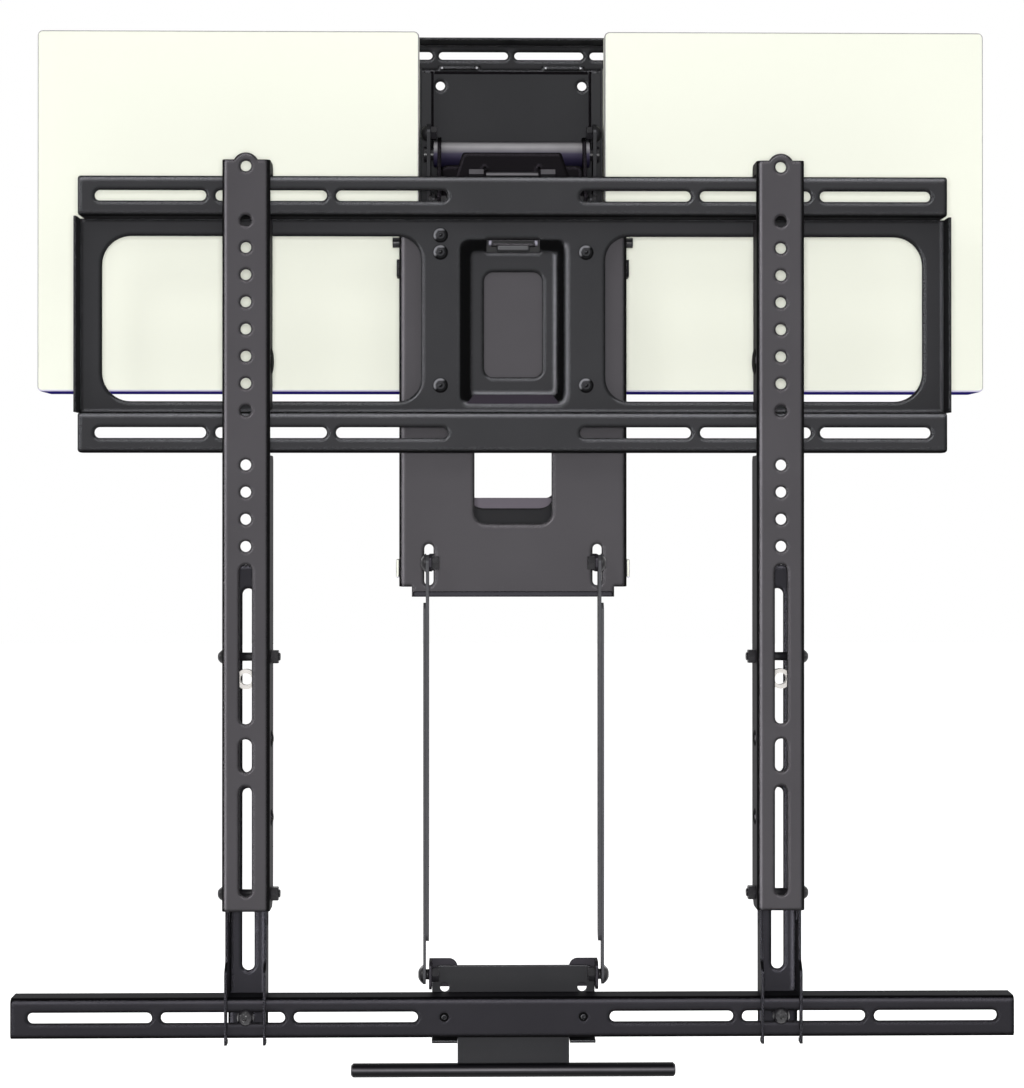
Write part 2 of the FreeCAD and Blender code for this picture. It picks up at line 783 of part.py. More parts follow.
def carrier_frame():
    back = pivot_depth - web_tube_margin
    top = arm_top + web_tube_margin
    front = link_depth + web_link_margin
    bottom = link_high - web_link_drop
    outline = [(back, arm_top - web_link_drop - cut_past, big_corner), (back, top, big_corner),
               (pivot_depth + web_tube_margin - cut_past, top, big_corner),
               (front, link_high + web_link_margin / 2, big_corner), (front, bottom, big_corner),
               (carrier_plate_depth + big_corner, bottom, corner)]
    web = plate_yz(outline, web_inner, web_outer)
    holes = [rod_x(tube_radius, 0, through, pivot_depth, arm_top),
             rod_x(link_pin_radius, 0, through, link_depth, link_high)]
    web = cut(web, holes)
    neck = carrier_neck_half_width
    shoulder = bottom - pin_tail
    top = carrier_plate_top
    spine = plate_xz([(-neck, carrier_plate_bottom, big_corner), (neck, carrier_plate_bottom, big_corner),
                      (neck, shoulder, big_corner), (web_inner, shoulder), (web_inner, top, corner),
                      (-web_inner, top, corner), (-web_inner, shoulder), (-neck, shoulder, big_corner)],
                     carrier_plate_depth, carrier_plate_front)
    lugs = []
    for z in (lug_top - lug_sheet, lug_bottom):
        block = box(-lug_half_width, lug_half_width, carrier_plate_front, kingpin_depth, z, z + lug_sheet)
        lugs.append(join([block, rod_z(lug_half_width, 0, kingpin_depth, z, z + lug_sheet)]))
    bore = rod_z(kingpin_radius, 0, kingpin_depth, lug_bottom - cut_past, lug_top + cut_past)
    body = cut(join([spine] + lugs), [bore])
    return join([body, web, mirrored(web)])


def hood():
    outline = [(-hood_bottom_half_width, hood_bottom, corner), (hood_bottom_half_width, hood_bottom, corner),
               (hood_top_half_width, hood_top, small_corner), (-hood_top_half_width, hood_top, small_corner)]
    pieces = [plate_xz(outline, carrier_plate_front, hood_face)]
    root = hood_ear_half_height
    tip = hood_ear_half_height - small_corner
    front = hood_bolt_depth + hood_ear_forward
    for side in (-1, 1):
        ear = [(hood_face, hood_bolt_height - root), (front, hood_bolt_height - tip, small_corner),
               (front, hood_bolt_height + tip, small_corner), (hood_face, hood_bolt_height + root)]
        pieces.append(plate_yz(ear, side * hood_ear_inner, side * (hood_ear_inner + sheet)))
    bore = rod_x(hood_bolt_radius, -through, through, hood_bolt_depth, hood_bolt_height)
    return cut(join(pieces), [bore])


def hood_bolt():
    nut_inner = hood_ear_inner + sheet
    nut_outer = nut_inner + hood_nut_length
    shank = rod_x(hood_bolt_radius, -nut_outer, nut_outer, hood_bolt_depth, hood_bolt_height)
    nuts = [hex_x(hood_nut_flats, side * nut_inner, side * nut_outer, hood_bolt_depth, hood_bolt_height)
            for side in (-1, 1)]
    return join([shank] + nuts)


def axle_bolts():
    start = tube_half_length - tube_plug_length
    head_start = arm_outer + pin_fit
    shank = rod_x(pivot_radius, start, head_start, pivot_depth, arm_top)
    head = rod_x(axle_head_radius, head_start, head_start + axle_head_length, pivot_depth, arm_top)
    return both_sides(join([shank, head]))


def link_top_bolts():
    head_start = link_outer + pin_fit
    end = web_inner - link_nut_length
    shank = rod_x(link_pin_radius, end, head_start, link_depth, link_high)
    head = rod_x(link_collar_radius, head_start, head_start + link_top_head, link_depth, link_high)
    nut = hex_x(link_nut_flats, end, web_inner, link_depth, link_high)
    return both_sides(join([shank, head, nut]))


def kingpin():
    shank = rod_z(kingpin_radius, 0, kingpin_depth, lug_bottom, lug_top)
    head = rod_z(kingpin_collar_radius, 0, kingpin_depth, lug_top, lug_top + kingpin_collar_height)
    keeper = rod_z(kingpin_collar_radius, 0, kingpin_depth, lug_bottom - kingpin_collar_height, lug_bottom)
    return join([shank, head, keeper])


# Gas springs
def gas_cylinder():
    eye = rod_x(spring_eye_radius, spring_x - spring_eye_width / 2, spring_x + spring_eye_width / 2,
                pivot_depth, spring_low)
    start = spring_low + cylinder_start
    neck = rod_z(spring_neck_radius, spring_x, pivot_depth, spring_low + spring_neck_start, start + cut_past)
    tube = rod_z(cylinder_radius, spring_x, pivot_depth, start, start + cylinder_length)
    body = join([eye, neck, tube])
    top = start + cylinder_length
    bore = rod_z(cylinder_bore_radius, spring_x, pivot_depth, start + cylinder_end_wall, top - cylinder_end_wall)
    gland = rod_z(rod_radius + run_gap, spring_x, pivot_depth, top - cylinder_end_wall - cut_past, top + cut_past)
    pin_hole = rod_x(spring_pin_radius + run_gap, 0, through, pivot_depth, spring_low)
    return cut(body, [bore, gland, pin_hole])


def gas_rod():
    eye = rod_x(spring_eye_radius, spring_x - spring_eye_width / 2, spring_x + spring_eye_width / 2,
                pivot_depth, spring_high)
    top = spring_high - rod_start + pin_tail
    shaft = rod_z(rod_radius, spring_x, pivot_depth, spring_high - rod_start - rod_length, top)
    pin_hole = rod_x(spring_pin_radius, 0, through, pivot_depth, spring_high)
    return cut(join([eye, shaft]), [pin_hole])


# Swivel yoke
def swivel_yoke():
    plate = box(-yoke_ear_outer, yoke_ear_outer, yoke_back, yoke_back + yoke_sheet, tilt_height - yoke_half_height,
                tilt_height + yoke_half_height)
    barrel_low = lug_bottom + lug_sheet + pin_fit
    barrel_high = lug_top - lug_sheet - pin_fit
    barrel = rod_z(yoke_barrel_radius, 0, kingpin_depth, barrel_low, barrel_high)
    block = box(-yoke_block_half_width, yoke_block_half_width, kingpin_depth, yoke_back,
                tilt_height - yoke_half_height, tilt_height + yoke_half_height)
    pieces = [plate, barrel, block]
    ear_low = tilt_height - yoke_ear_half_height
    ear_high = tilt_height + yoke_ear_half_height
    ear_front = tilt_depth + yoke_tilt_offset
    outline = [(yoke_back, ear_low, small_corner), (ear_front, ear_low, corner),
               (ear_front, ear_high, corner), (yoke_back, ear_high, small_corner)]
    ear = plate_yz(outline, yoke_ear_inner, yoke_ear_outer)
    pieces += [ear, mirrored(ear)]
    bore = rod_z(kingpin_radius + run_gap, 0, kingpin_depth, barrel_low - cut_past, barrel_high + cut_past)
    tilt_bore = rod_x(tilt_bolt_radius, -through, through, tilt_depth, tilt_height)
    return cut(join(pieces), [bore, tilt_bore])


def tilt_bolts():
    head_start = panel_half_width + pin_fit
    shank = rod_x(tilt_bolt_radius, yoke_ear_inner, head_start, tilt_depth, tilt_height)
    head = rod_x(tilt_head_radius, head_start, head_start + tilt_head_length, tilt_depth, tilt_height)
    nut = hex_x(tilt_nut_flats, yoke_ear_inner - tilt_nut_length, yoke_ear_inner, tilt_depth, tilt_height)
    return both_sides(join([shank, head, nut]))


# Front panel and TV frame
def frame_bolt_places():
    places = [(side * frame_bolt_x, z) for side in (-1, 1) for z in frame_bolt_heights]
    return places + [(-frame_bolt_x, frame_extra_bolt_height)]


def front_panel():
    half = panel_half_width
    lip = panel_lip_half_width
    channel = upright_channel(half, panel_depth, panel_flange_depth, panel_bottom, panel_top)
    outline = plate_yz([(panel_flange_depth, panel_bottom + small_corner, small_corner),
                        (panel_depth, panel_bottom), (panel_depth, panel_top),
                        (panel_flange_depth, panel_top, corner)], -half, half)
    web = channel.common(outline)
    lip_bottom = panel_bottom - panel_lip_height
    lip_front = box(-lip, lip, panel_back, panel_depth, lip_bottom, panel_bottom)
    lip_back = box(-lip, lip, panel_back - panel_lip_flange, panel_depth, lip_bottom, lip_bottom + sheet)
    hook_low = dish_top - panel_hook_rise
    hook = box(-panel_hook_half_width, panel_hook_half_width, panel_depth, frame_body_depth - 2 * slide_gap,
               hook_low, hook_low + sheet)
    tabs = []
    for z in panel_tab_heights:
        tabs.append(box(half, half + panel_tab_out, panel_flange_depth + panel_tab_back, panel_depth - panel_tab_front,
                        z - panel_tab_half_height, z + panel_tab_half_height))
    body = join([web, lip_front, lip_back, hook] + tabs + [mirrored(tab) for tab in tabs])
    window = panel_window_half_width
    holes = [rounded_box(-window, window, panel_window_bottom, panel_window_top, panel_window_corner,
                         panel_back - cut_past, panel_depth + cut_past)]
    for side in (-1, 1):
        holes.append(slot_z(side * panel_slot_x, panel_slot_heights[0], panel_slot_heights[1], panel_slot_width,
                            panel_back - cut_past, panel_depth + cut_past))
    for x, z in frame_bolt_places():
        holes.append(rod_y(frame_bolt_radius, x, panel_back - cut_past, panel_depth + cut_past, z))
    holes.append(rod_x(tilt_bolt_radius + run_gap, -through, through, tilt_depth, tilt_height))
    return cut(body, holes)


def frame_slots(z):
    slots = []
    count = int((frame_rail_half_length - frame_slot_first) // frame_slot_pitch) + 1
    for i in range(count):
        for side in (-1, 1):
            x = side * (frame_slot_first + i * frame_slot_pitch)
            slots.append(slot_x(x, z, frame_slot_length, frame_slot_width, frame_body_depth,
                                frame_rail_depth + cut_past))
    return slots


def frame_rail(edge, sign):
    """One slotted rail of the TV frame, stepped forward from the edge of its body."""
    half = frame_rail_half_length
    back = frame_body_depth - sheet
    top = edge + sign * (sheet + frame_rail_height)
    front = frame_rail_depth
    lip = front - sheet - frame_rail_lip
    outer = frame_bend_radius
    inner = inside_bend(outer)
    section = [(back, edge), (front, edge, outer), (front, top, outer), (lip, top), (lip, top - sign * sheet),
               (front - sheet, top - sign * sheet, inner), (front - sheet, edge + sign * sheet, inner),
               (back, edge + sign * sheet)]
    rail = plate_yz(section, -half, half)
    ends = rounded_box(-half, half, min(edge, top), max(edge, top), small_corner, 0, front + cut_past)
    middle = edge + sign * (sheet + frame_rail_height / 2 - frame_slot_drop)
    return cut(rail.common(ends), frame_slots(middle))


def dish_ring(inset, depth, radius):
    """The dish's outline, drawn in by inset, at one depth."""
    half = dish_half_width - inset
    low = dish_bottom + inset
    high = dish_top - inset
    points = [(-half, low, radius), (half, low, radius), (half, high, radius), (-half, high, radius)]
    return rounded_wire(points, lambda p: V(p.x, -depth, p.y))


def tv_frame():
    half = frame_half_width
    front = frame_body_depth
    back = front - sheet
    body = box(-half, half, back, front, frame_body_bottom, frame_body_top)
    flange = box(half - sheet, half, back, frame_rail_depth, frame_body_bottom, frame_body_top)
    pieces = [body, flange, mirrored(flange), frame_rail(frame_body_top, 1), frame_rail(frame_body_bottom, -1)]
    window = [(frame_window_inner, frame_window_bottom, frame_window_inner_corner),
              (frame_window_outer, frame_window_bottom, frame_window_outer_corner),
              (frame_window_outer, frame_window_top, frame_window_outer_corner),
              (frame_window_inner, frame_window_top, frame_window_inner_corner)]
    opening = plate_xz(window, back - cut_past, front + cut_past)
    outer = [dish_ring(0, front, big_corner), dish_ring(dish_slope, front - dish_depth, corner)]
    hollow = Part.makeLoft(outer, True, True)
    shell = [dish_ring(-dish_skin, back, big_corner + dish_skin),
             dish_ring(dish_slope - dish_skin, back - dish_depth, corner + dish_skin)]
    pan = Part.makeLoft(shell, True, True)
    frame = cut(join(pieces), [opening, mirrored(opening)])
    frame = cut(join([frame, pan]), [hollow])
    dish_window = rounded_box(-dish_window_half_width, dish_window_half_width, dish_window_bottom,
                              dish_window_top, dish_window_corner, back - dish_depth - cut_past,
                              front + cut_past)
    notch = box(-dish_notch_half_width, dish_notch_half_width, back - dish_depth - cut_past, front + cut_past,
                dish_top - dish_notch_rise, dish_top)
    holes = [dish_window, notch]
    for x, z in frame_bolt_places():
        holes.append(rod_y(frame_bolt_radius, x, back - cut_past, front + cut_past, z))
    return cut(frame, holes)


def frame_spacers():
    rings = []
    for x, z in frame_bolt_places():
        ring = rod_y(frame_spacer_radius, x, panel_depth, frame_body_depth - sheet, z)
        rings.append(cut(ring, [rod_y(frame_bolt_radius, x, panel_depth - cut_past, frame_body_depth, z)]))
    return together(rings)


def frame_bolts():
    bolts = []
    front = frame_body_depth
    washer_front = front + frame_washer_sheet
    back = panel_back - frame_nut_length
    for x, z in frame_bolt_places():
        shank = rod_y(frame_bolt_radius, x, back, front, z)
        washer = rod_y(frame_washer_radius, x, front, washer_front, z)
        head = hex_y(frame_bolt_flats, x, washer_front, washer_front + frame_bolt_head, z)
        nut = hex_y(frame_nut_flats, x, back, panel_back, z)
        bolts.append(join([shank, washer, head, nut]))
    return together(bolts)


# Upright TV brackets. Each is drawn at x = 0 and moved to its side.
def bracket_side_outline(x0, x1):
    front = bracket_depth
    back = bracket_back_depth
    rail_front = frame_rail_depth + bracket_rail_gap
    body_front = frame_body_depth + bracket_rail_gap
    hook_back = frame_rail_depth - sheet - frame_rail_lip - bracket_room
    hook_end = hook_back - bracket_hook_sheet
    upper_top = frame_upper_rail_bottom + frame_rail_height + bracket_room
    upper_bottom = frame_body_top - bracket_room
    lower_top = frame_body_bottom + bracket_room
    lower_bottom = frame_lower_rail_top - frame_rail_height - bracket_room
    hook_tip = upper_top - bracket_hook_drop
    outline = [(front, bracket_top), (hook_end, bracket_top, corner), (hook_end, hook_tip, small_corner),
               (hook_back, hook_tip, small_corner), (hook_back, upper_top), (rail_front, upper_top),
               (rail_front, upper_bottom), (body_front, upper_bottom, small_corner),
               (body_front, lower_top, small_corner), (rail_front, lower_top), (rail_front, lower_bottom),
               (back, lower_bottom, corner), (back, bracket_bottom + bracket_foot_chamfer, small_corner),
               (back + bracket_foot_chamfer, bracket_bottom, small_corner), (front, bracket_bottom)]
    return plate_yz(outline, x0, x1)


def tv_bracket(x):
    half = bracket_half_width
    web_back = bracket_depth - sheet
    channel = upright_channel(half, bracket_depth, bracket_back_depth, bracket_bottom, bracket_top)
    channel = channel.common(bracket_side_outline(-half, half))
    ear = rod_y(bracket_ear_radius, 0, web_back, bracket_depth, bracket_hole_top)
    pieces = [channel, ear]
    holes = []
    start = web_back - cut_past
    end = bracket_depth + cut_past
    for step in bracket_hole_steps:
        z = bracket_hole_top - step * bracket_hole_pitch
        holes.append(rod_y(bracket_hole_radius, 0, start, end, z))
    for top, low in bracket_slots:
        holes.append(slot_z(0, top, low, bracket_slot_width, start, end))
    for z in bracket_bolt_heights:
        holes.append(rod_x(bracket_bolt_radius, -half - cut_past, half + cut_past, bracket_bolt_depth, z))
    return moved(cut(join(pieces), holes), x)


def bracket_bolts(x):
    outward = 1 if x > 0 else -1
    half = bracket_half_width
    bolts = []
    for z in bracket_bolt_heights:
        shank = rod_x(bracket_bolt_radius, -half, half, bracket_bolt_depth, z)
        nut = hex_x(bracket_nut_flats, -outward * half, -outward * (half + bracket_nut_length),
                    bracket_bolt_depth, z)
        head = dome(bracket_head_radius, bracket_head_height, V(outward * half, -bracket_bolt_depth, z),
                    V(outward, 0, 0))
        bolts.append(join([shank, nut, head]))
    return moved(together(bolts), x)


def guide_ring(x):
    back = bracket_depth - sheet
    ring = rod_y(ring_radius, 0, back - ring_length, back, ring_height)
    bore = rod_y(ring_bore, 0, back - ring_length - cut_past, back + cut_past, ring_height)
    return moved(cut(ring, [bore]), x)


# Inner channels, sliding in the brackets
def inner_channel(x):
    half = inner_half_width
    back = inner_back_depth
    toe_top = rail_bottom - inner_rail_gap
    toe_bottom = toe_top - inner_toe_height
    toe_back = inner_hook_depth - inner_toe_reach
    channel = upright_channel(half, back, inner_hook_depth, toe_bottom, inner_top)
    strip_back = rail_depth + inner_rail_gap
    slot_top = rail_top + inner_rail_gap
    taper = inner_top_chamfer
    outline = [(back, inner_top), (inner_front_depth - taper, inner_top, small_corner),
               (inner_front_depth, inner_top - taper, small_corner), (inner_front_depth, inner_hook_top, small_corner),
               (inner_hook_depth, inner_hook_top - inner_hook_slope, corner),
               (inner_hook_depth, toe_bottom), (toe_back, toe_bottom), (toe_back, toe_top), (strip_back, toe_top),
               (strip_back, slot_top), (inner_web_depth, slot_top), (inner_web_depth, inner_bottom),
               (back, inner_bottom)]
    channel = channel.common(plate_yz(outline, -half, half))
    holes = []
    start = back - cut_past
    end = inner_web_depth + cut_past
    for top, low in inner_slots:
        holes.append(slot_z(0, top, low, inner_slot_width, start, end))
    clear = bracket_bolt_radius + slide_gap
    for z in bracket_bolt_heights:
        top = z + height_travel_down
        low = z - height_travel_up
        holes.append(bar_yz(low, top, clear, bracket_bolt_depth, -half - cut_past, half + cut_past))
    holes.append(rod_y(clamp_radius, 0, start, end, rail_slot_height))
    return moved(cut(channel, holes), x)


def rail_clamp(x):
    back = inner_back_depth
    shank = rod_y(clamp_radius, 0, back, rail_depth, rail_slot_height)
    head = dome(clamp_head_radius, clamp_head_height, V(0, -rail_depth, rail_slot_height), V(0, -1, 0))
    nut = hex_y(clamp_nut_flats, 0, back - clamp_nut_length, back, rail_slot_height)
    return moved(join([shank, head, nut]), x)


# Soundbar rail, handle bracket and handle
def soundbar_rail():
    half = rail_half_length
    web_back = rail_depth - sheet
    low_back = rail_depth - rail_bottom_lip
    start = web_back - cut_past
    end = rail_depth + cut_past
    section = [(rail_back_depth, rail_top), (rail_depth, rail_top, bend_radius), (rail_depth, rail_bottom, bend_radius),
               (low_back, rail_bottom), (low_back, rail_bottom + sheet), (web_back, rail_bottom + sheet, inside_bend()),
               (web_back, rail_top - sheet, inside_bend()), (rail_back_depth, rail_top - sheet)]
    rail = plate_yz(section, -half, half)
    holes = []
    count = int((half - rail_slot_first) // rail_slot_pitch) + 1
    for i in range(count):
        for side in (-1, 1):
            x = side * (rail_slot_first + i * rail_slot_pitch)
            holes.append(slot_x(x, rail_slot_height, rail_slot_length, rail_slot_width, start, end))
    for side in (-1, 1):
        holes.append(rod_y(rail_bolt_radius, side * rail_bolt_x, start, end, rail_slot_height))
    return cut(rail, holes)


def rail_bolts():
    bolts = []
    back = handle_plate_back - rail_bolt_nut
    z = rail_slot_height
    for side in (-1, 1):
        x = side * rail_bolt_x
        shank = rod_y(rail_bolt_radius, x, back, rail_depth, z)
        sleeve = rod_y(rail_bolt_sleeve, x, rail_back_depth, rail_depth - sheet, z)
        head = rod_y(rail_bolt_head_radius, x, rail_depth, rail_depth + rail_bolt_head, z)
        nut = hex_y(rail_bolt_flats, x, back, handle_plate_back, z)
        bolts.append(join([shank, sleeve, head, nut]))
    return together(bolts)


def handle_bar():
    half = handle_half_length
    bar = rod_x(handle_radius, -half, half, handle_depth, handle_height)
    ends = [edge for edge in bar.Edges if edge.Curve.TypeId == "Part::GeomCircle"]
    return bar.makeChamfer(handle_chamfer, ends)


def handle_bracket():
    half = handle_plate_half_width
    stem = handle_stem_half_width
    plate = plate_xz([(-half, handle_plate_bottom), (half, handle_plate_bottom),
                      (half, handle_plate_top, big_corner), (-half, handle_plate_top, big_corner)],
                     handle_plate_back, rail_back_depth)
    neck = box(-stem, stem, handle_plate_back, rail_back_depth, handle_height + handle_radius / 2,
               handle_plate_bottom)
    tabs = [box(side * stem, side * half, rail_back_depth, handle_tab_depth, handle_plate_bottom,
                handle_plate_bottom + sheet) for side in (-1, 1)]
    body = join([plate, neck] + tabs)
    holes = [rod_x(handle_radius, -half, half, handle_depth, handle_height)]
    start = handle_plate_back - cut_past
    end = rail_back_depth + cut_past
    for side in (-1, 1):
        holes.append(rod_y(handle_hole_radius, side * rail_bolt_x, start, end, handle_hole_height))
        holes.append(rod_y(rail_bolt_radius, side * rail_bolt_x, start, end, rail_slot_height))
    return cut(body, holes)


# Straps. The lower pair slides past the upper pair when the soundbar rail is set higher or lower.
def strap(x0, x1, top, low, bolt_height):
    bar = bar_yz(low + strap_half_depth, top - strap_half_depth, strap_half_depth, strap_depth, x0, x1)
    holes = [rod_x(strap_bolt_radius, -through, through, strap_depth, bolt_height)]
    away = 1 if bolt_height < (top + low) / 2 else -1
    z = bolt_height + away * strap_hole_pitch
    while low + strap_half_depth < z < top - strap_half_depth:
        holes.append(rod_x(strap_hole_radius, -through, through, strap_depth, z))
        z += away * strap_hole_pitch
    return cut(bar, holes)


def upper_strap():
    top = strap_top_bolt_height + strap_end_margin
    return strap(strap_upper_inner, strap_upper_outer, top, upper_strap_bottom, strap_top_bolt_height)


def lower_strap():
    low = strap_low_bolt_height - strap_half_depth
    return strap(strap_lower_inner, strap_lower_outer, lower_strap_top, low, strap_low_bolt_height)


def strap_ear(height, plate_depth, low_reach, high_reach):
    """A bent ear: a foot behind the plate and a side that carries the strap bolt."""
    outer = strap_ear_inner + sheet
    low = height - low_reach
    high = height + high_reach
    back = plate_depth - sheet
    front = strap_depth + strap_ear_forward
    foot = plate_xz([(outer - strap_ear_foot, low), (outer, low), (outer, high),
                     (outer - strap_ear_foot, high, big_corner)], back, plate_depth)
    side = plate_yz([(back, low), (front, low, corner), (front, high, corner), (back, high)],
                    strap_ear_inner, outer)
    return cut(join([foot, side]), [rod_x(strap_bolt_radius, -through, through, strap_depth, height)])


def upper_strap_ears():
    return both_sides(strap_ear(strap_top_bolt_height, panel_back, upper_ear_reach, upper_ear_reach))


def lower_strap_ears():
    return both_sides(strap_ear(strap_low_bolt_height, handle_plate_back, *lower_ear_reach))


def strap_bolts(height, outer, spacer):
    nut_end = strap_ear_inner - strap_nut_length
    shank = rod_x(strap_bolt_radius, nut_end, outer, strap_depth, height)
    nut = hex_x(strap_nut_flats, nut_end, strap_ear_inner, strap_depth, height)
    head = dome_x(strap_head_radius, strap_head_height, outer, strap_depth, height)
    pieces = [shank, nut, head]
    if spacer:
        pieces.append(rod_x(strap_spacer_radius, strap_ear_inner + sheet, strap_lower_inner, strap_depth, height))
    return both_sides(join(pieces))


def sides(name, shape):
    export(name + "_right", shape)
    export(name + "_left", mirrored(shape))


def main():
    os.makedirs("parts", exist_ok=True)
    export("wall_rail_upper", wall_rail(True))
    export("wall_rail_lower", wall_rail(False))
    export("wall_plate", wall_plate())
    sides("cheek", cheek())
    sides("cover", cover())
    export("cover_clips", cover_clips())
    export("arm_bumpers", arm_bumpers())
    export("arm_pivot_bolts", arm_pivot_bolts())
    export("link_pivot_bolts", link_pivot_bolts())
    export("spring_anchors", spring_anchors())
    export("lower_spring_pins", lower_spring_pins())
    sides("main_arm", main_arm())
    export("arm_tie_bar", arm_tie_bar())
    export("stop_bolts", stop_bolts())
    export("upper_spring_pins", upper_spring_pins())
    sides("front_link", front_link())
    export("pivot_tube", pivot_tube())
    export("carrier_frame", carrier_frame())
    export("hood", hood())
    export("hood_bolt", hood_bolt())
    export("axle_bolts", axle_bolts())
    export("link_top_bolts", link_top_bolts())
    export("kingpin", kingpin())
    sides("gas_cylinder", gas_cylinder())
    sides("gas_rod", gas_rod())
    export("swivel_yoke", swivel_yoke())
    export("tilt_bolts", tilt_bolts())
    export("front_panel", front_panel())
    export("tv_frame", tv_frame())
    export("frame_spacers", frame_spacers())
    export("frame_bolts", frame_bolts())
    for side, x in (("left", -bracket_x), ("right", bracket_x)):
        export("tv_bracket_" + side, tv_bracket(x))
        export("bracket_bolts_" + side, bracket_bolts(x))
        export("guide_ring_" + side, guide_ring(x))
        export("inner_channel_" + side, inner_channel(x))
        export("rail_clamp_" + side, rail_clamp(x))
    export("soundbar_rail", soundbar_rail())
    export("rail_bolts", rail_bolts())
    export("handle_bracket", handle_bracket())
    export("handle_bar", handle_bar())
    sides("upper_strap", upper_strap())
    sides("lower_strap", lower_strap())
    export("upper_strap_ears", upper_strap_ears())
    export("lower_strap_ears", lower_strap_ears())
    export("upper_strap_bolts", strap_bolts(strap_top_bolt_height, strap_upper_outer, False))
    export("lower_strap_bolts", strap_bolts(strap_low_bolt_height, strap_lower_outer, True))


main()
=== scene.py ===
import math

import bmesh
import bpy
from mathutils import Matrix, Vector

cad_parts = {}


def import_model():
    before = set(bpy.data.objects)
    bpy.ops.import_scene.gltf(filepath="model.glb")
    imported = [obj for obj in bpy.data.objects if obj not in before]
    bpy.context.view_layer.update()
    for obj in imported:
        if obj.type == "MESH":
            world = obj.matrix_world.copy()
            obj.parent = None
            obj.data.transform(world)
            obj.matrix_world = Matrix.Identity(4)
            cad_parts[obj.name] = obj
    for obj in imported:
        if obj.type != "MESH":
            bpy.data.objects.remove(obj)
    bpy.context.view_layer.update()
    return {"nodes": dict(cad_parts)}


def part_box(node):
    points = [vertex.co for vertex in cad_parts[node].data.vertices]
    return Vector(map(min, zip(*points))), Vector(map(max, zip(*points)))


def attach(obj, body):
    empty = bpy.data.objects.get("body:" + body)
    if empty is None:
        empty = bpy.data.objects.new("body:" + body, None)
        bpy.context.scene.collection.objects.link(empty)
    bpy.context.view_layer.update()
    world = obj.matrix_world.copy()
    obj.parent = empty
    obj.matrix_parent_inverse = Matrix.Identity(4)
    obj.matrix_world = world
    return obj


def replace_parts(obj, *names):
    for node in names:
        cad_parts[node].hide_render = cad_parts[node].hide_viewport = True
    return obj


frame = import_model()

# Frame: metres, X to the right, Y into the wall, Z up. Sizes of pieces are in millimetres, and a place is
# (x, depth before the wall, height).
MM = 0.001
BOTH_SIDES = (-1, 1)
FULL_TURN = 2 * math.pi
SIXTH_TURN = math.pi / 3

# Camera, fitted to the photograph of 1024 x 1088 pixels: place in metres, angles in degrees, sensor in millimetres,
# the rest in pixels
IMAGE_HEIGHT = 1088.0
CAMERA_PLACE = (-0.0362, -2.0254, -0.2932)
CAMERA_YAW = 0.807
CAMERA_PITCH = 0.232
FOCAL_PIXELS = 2043.0
AXIS_RIGHT_OF_MIDDLE = -8.7
AXIS_BELOW_MIDDLE = -43.1
SENSOR_HEIGHT = 36.0

# Lamps: name, place, diameter in metres, watts. All point at LAMP_TARGET.
LAMP_TARGET = (0, 0, -0.3)
LAMPS = (
    ("key", (-1.4, -2.2, 1.3), 0.9, 7),
    ("fill", (1.6, -2.3, 0.9), 1.6, 4),
    ("front", (0.0, -4.8, 0.1), 1.0, 13),
    ("flash", (-0.04, -2.0, -0.27), 0.2, 21.5),
    ("top", (-0.3, -1.5, 2.2), 0.5, 4),
    ("left", (-3.0, -0.6, 0.2), 0.8, 14),
    ("right", (3.0, -0.6, 0.2), 0.8, 14),
    ("back_left", (-2.0, 2.6, 0.8), 1.5, 30),
    ("back_right", (2.0, 2.6, 0.8), 1.5, 30),
)
WORLD_STRENGTH = 0.26
FLOOR_HEIGHT = -1.35
FLOOR_REACH = 14.0
FLOOR_LIFT = 0.82

# Colours as they look on screen, 0 to 255
FRAME_BLACK = (56, 56, 58)
WALL_BLACK = (56, 56, 58)
PANEL_GREY = (79, 77, 80)
RAIL_BLACK = (48, 47, 51)
UPRIGHT_GREY = (76, 74, 77)
CHANNEL_GREY = (58, 57, 62)
HOOD_BLACK = (24, 22, 25)
CHEEK_GREY = (58, 58, 60)
STRAP_GREY = (80, 80, 83)
EAR_GREY = (60, 58, 63)
# cable lip: lighter than the wall plate's steel, as painted light
CABLE_LIP_LIGHT = (124, 118, 127)
# hook ears: light, as a painted highlight on the panel's steel
HOOK_EAR_HIGHLIGHT = (150, 148, 160)
HOOK_TAB_GREY = (90, 90, 92)
# panel hem: darker and bluer than the panel, as painted shade
HEM_SHADE = (62, 61, 66)
# dish sill: lighter, as painted light on the dish's upward-facing lower slope
SILL_LIGHT = (58, 53, 61)
BOLT_GREY = (54, 54, 56)
SIDE_BOLT_BLACK = (28, 27, 30)
POLISHED_BLACK = (34, 33, 36)
COVER_CREAM = (248, 250, 236)
# Painted shade on the cream cover: grey on its rounded front edge, lavender on its lower rim, navy on its underside
COVER_RIM_SHADE = (150, 146, 152)
COVER_LOWER_RIM_SHADE = (205, 200, 224)
COVER_UNDERSIDE_SHADE = (44, 38, 116)
NYLON = (206, 202, 198)
RUBBER_BLACK = (24, 24, 25)
STEEL = (150, 151, 154)
PAPER_GREY = (240, 240, 240)
WHITE = (1, 1, 1, 1)
BLACK = (0, 0, 0, 1)
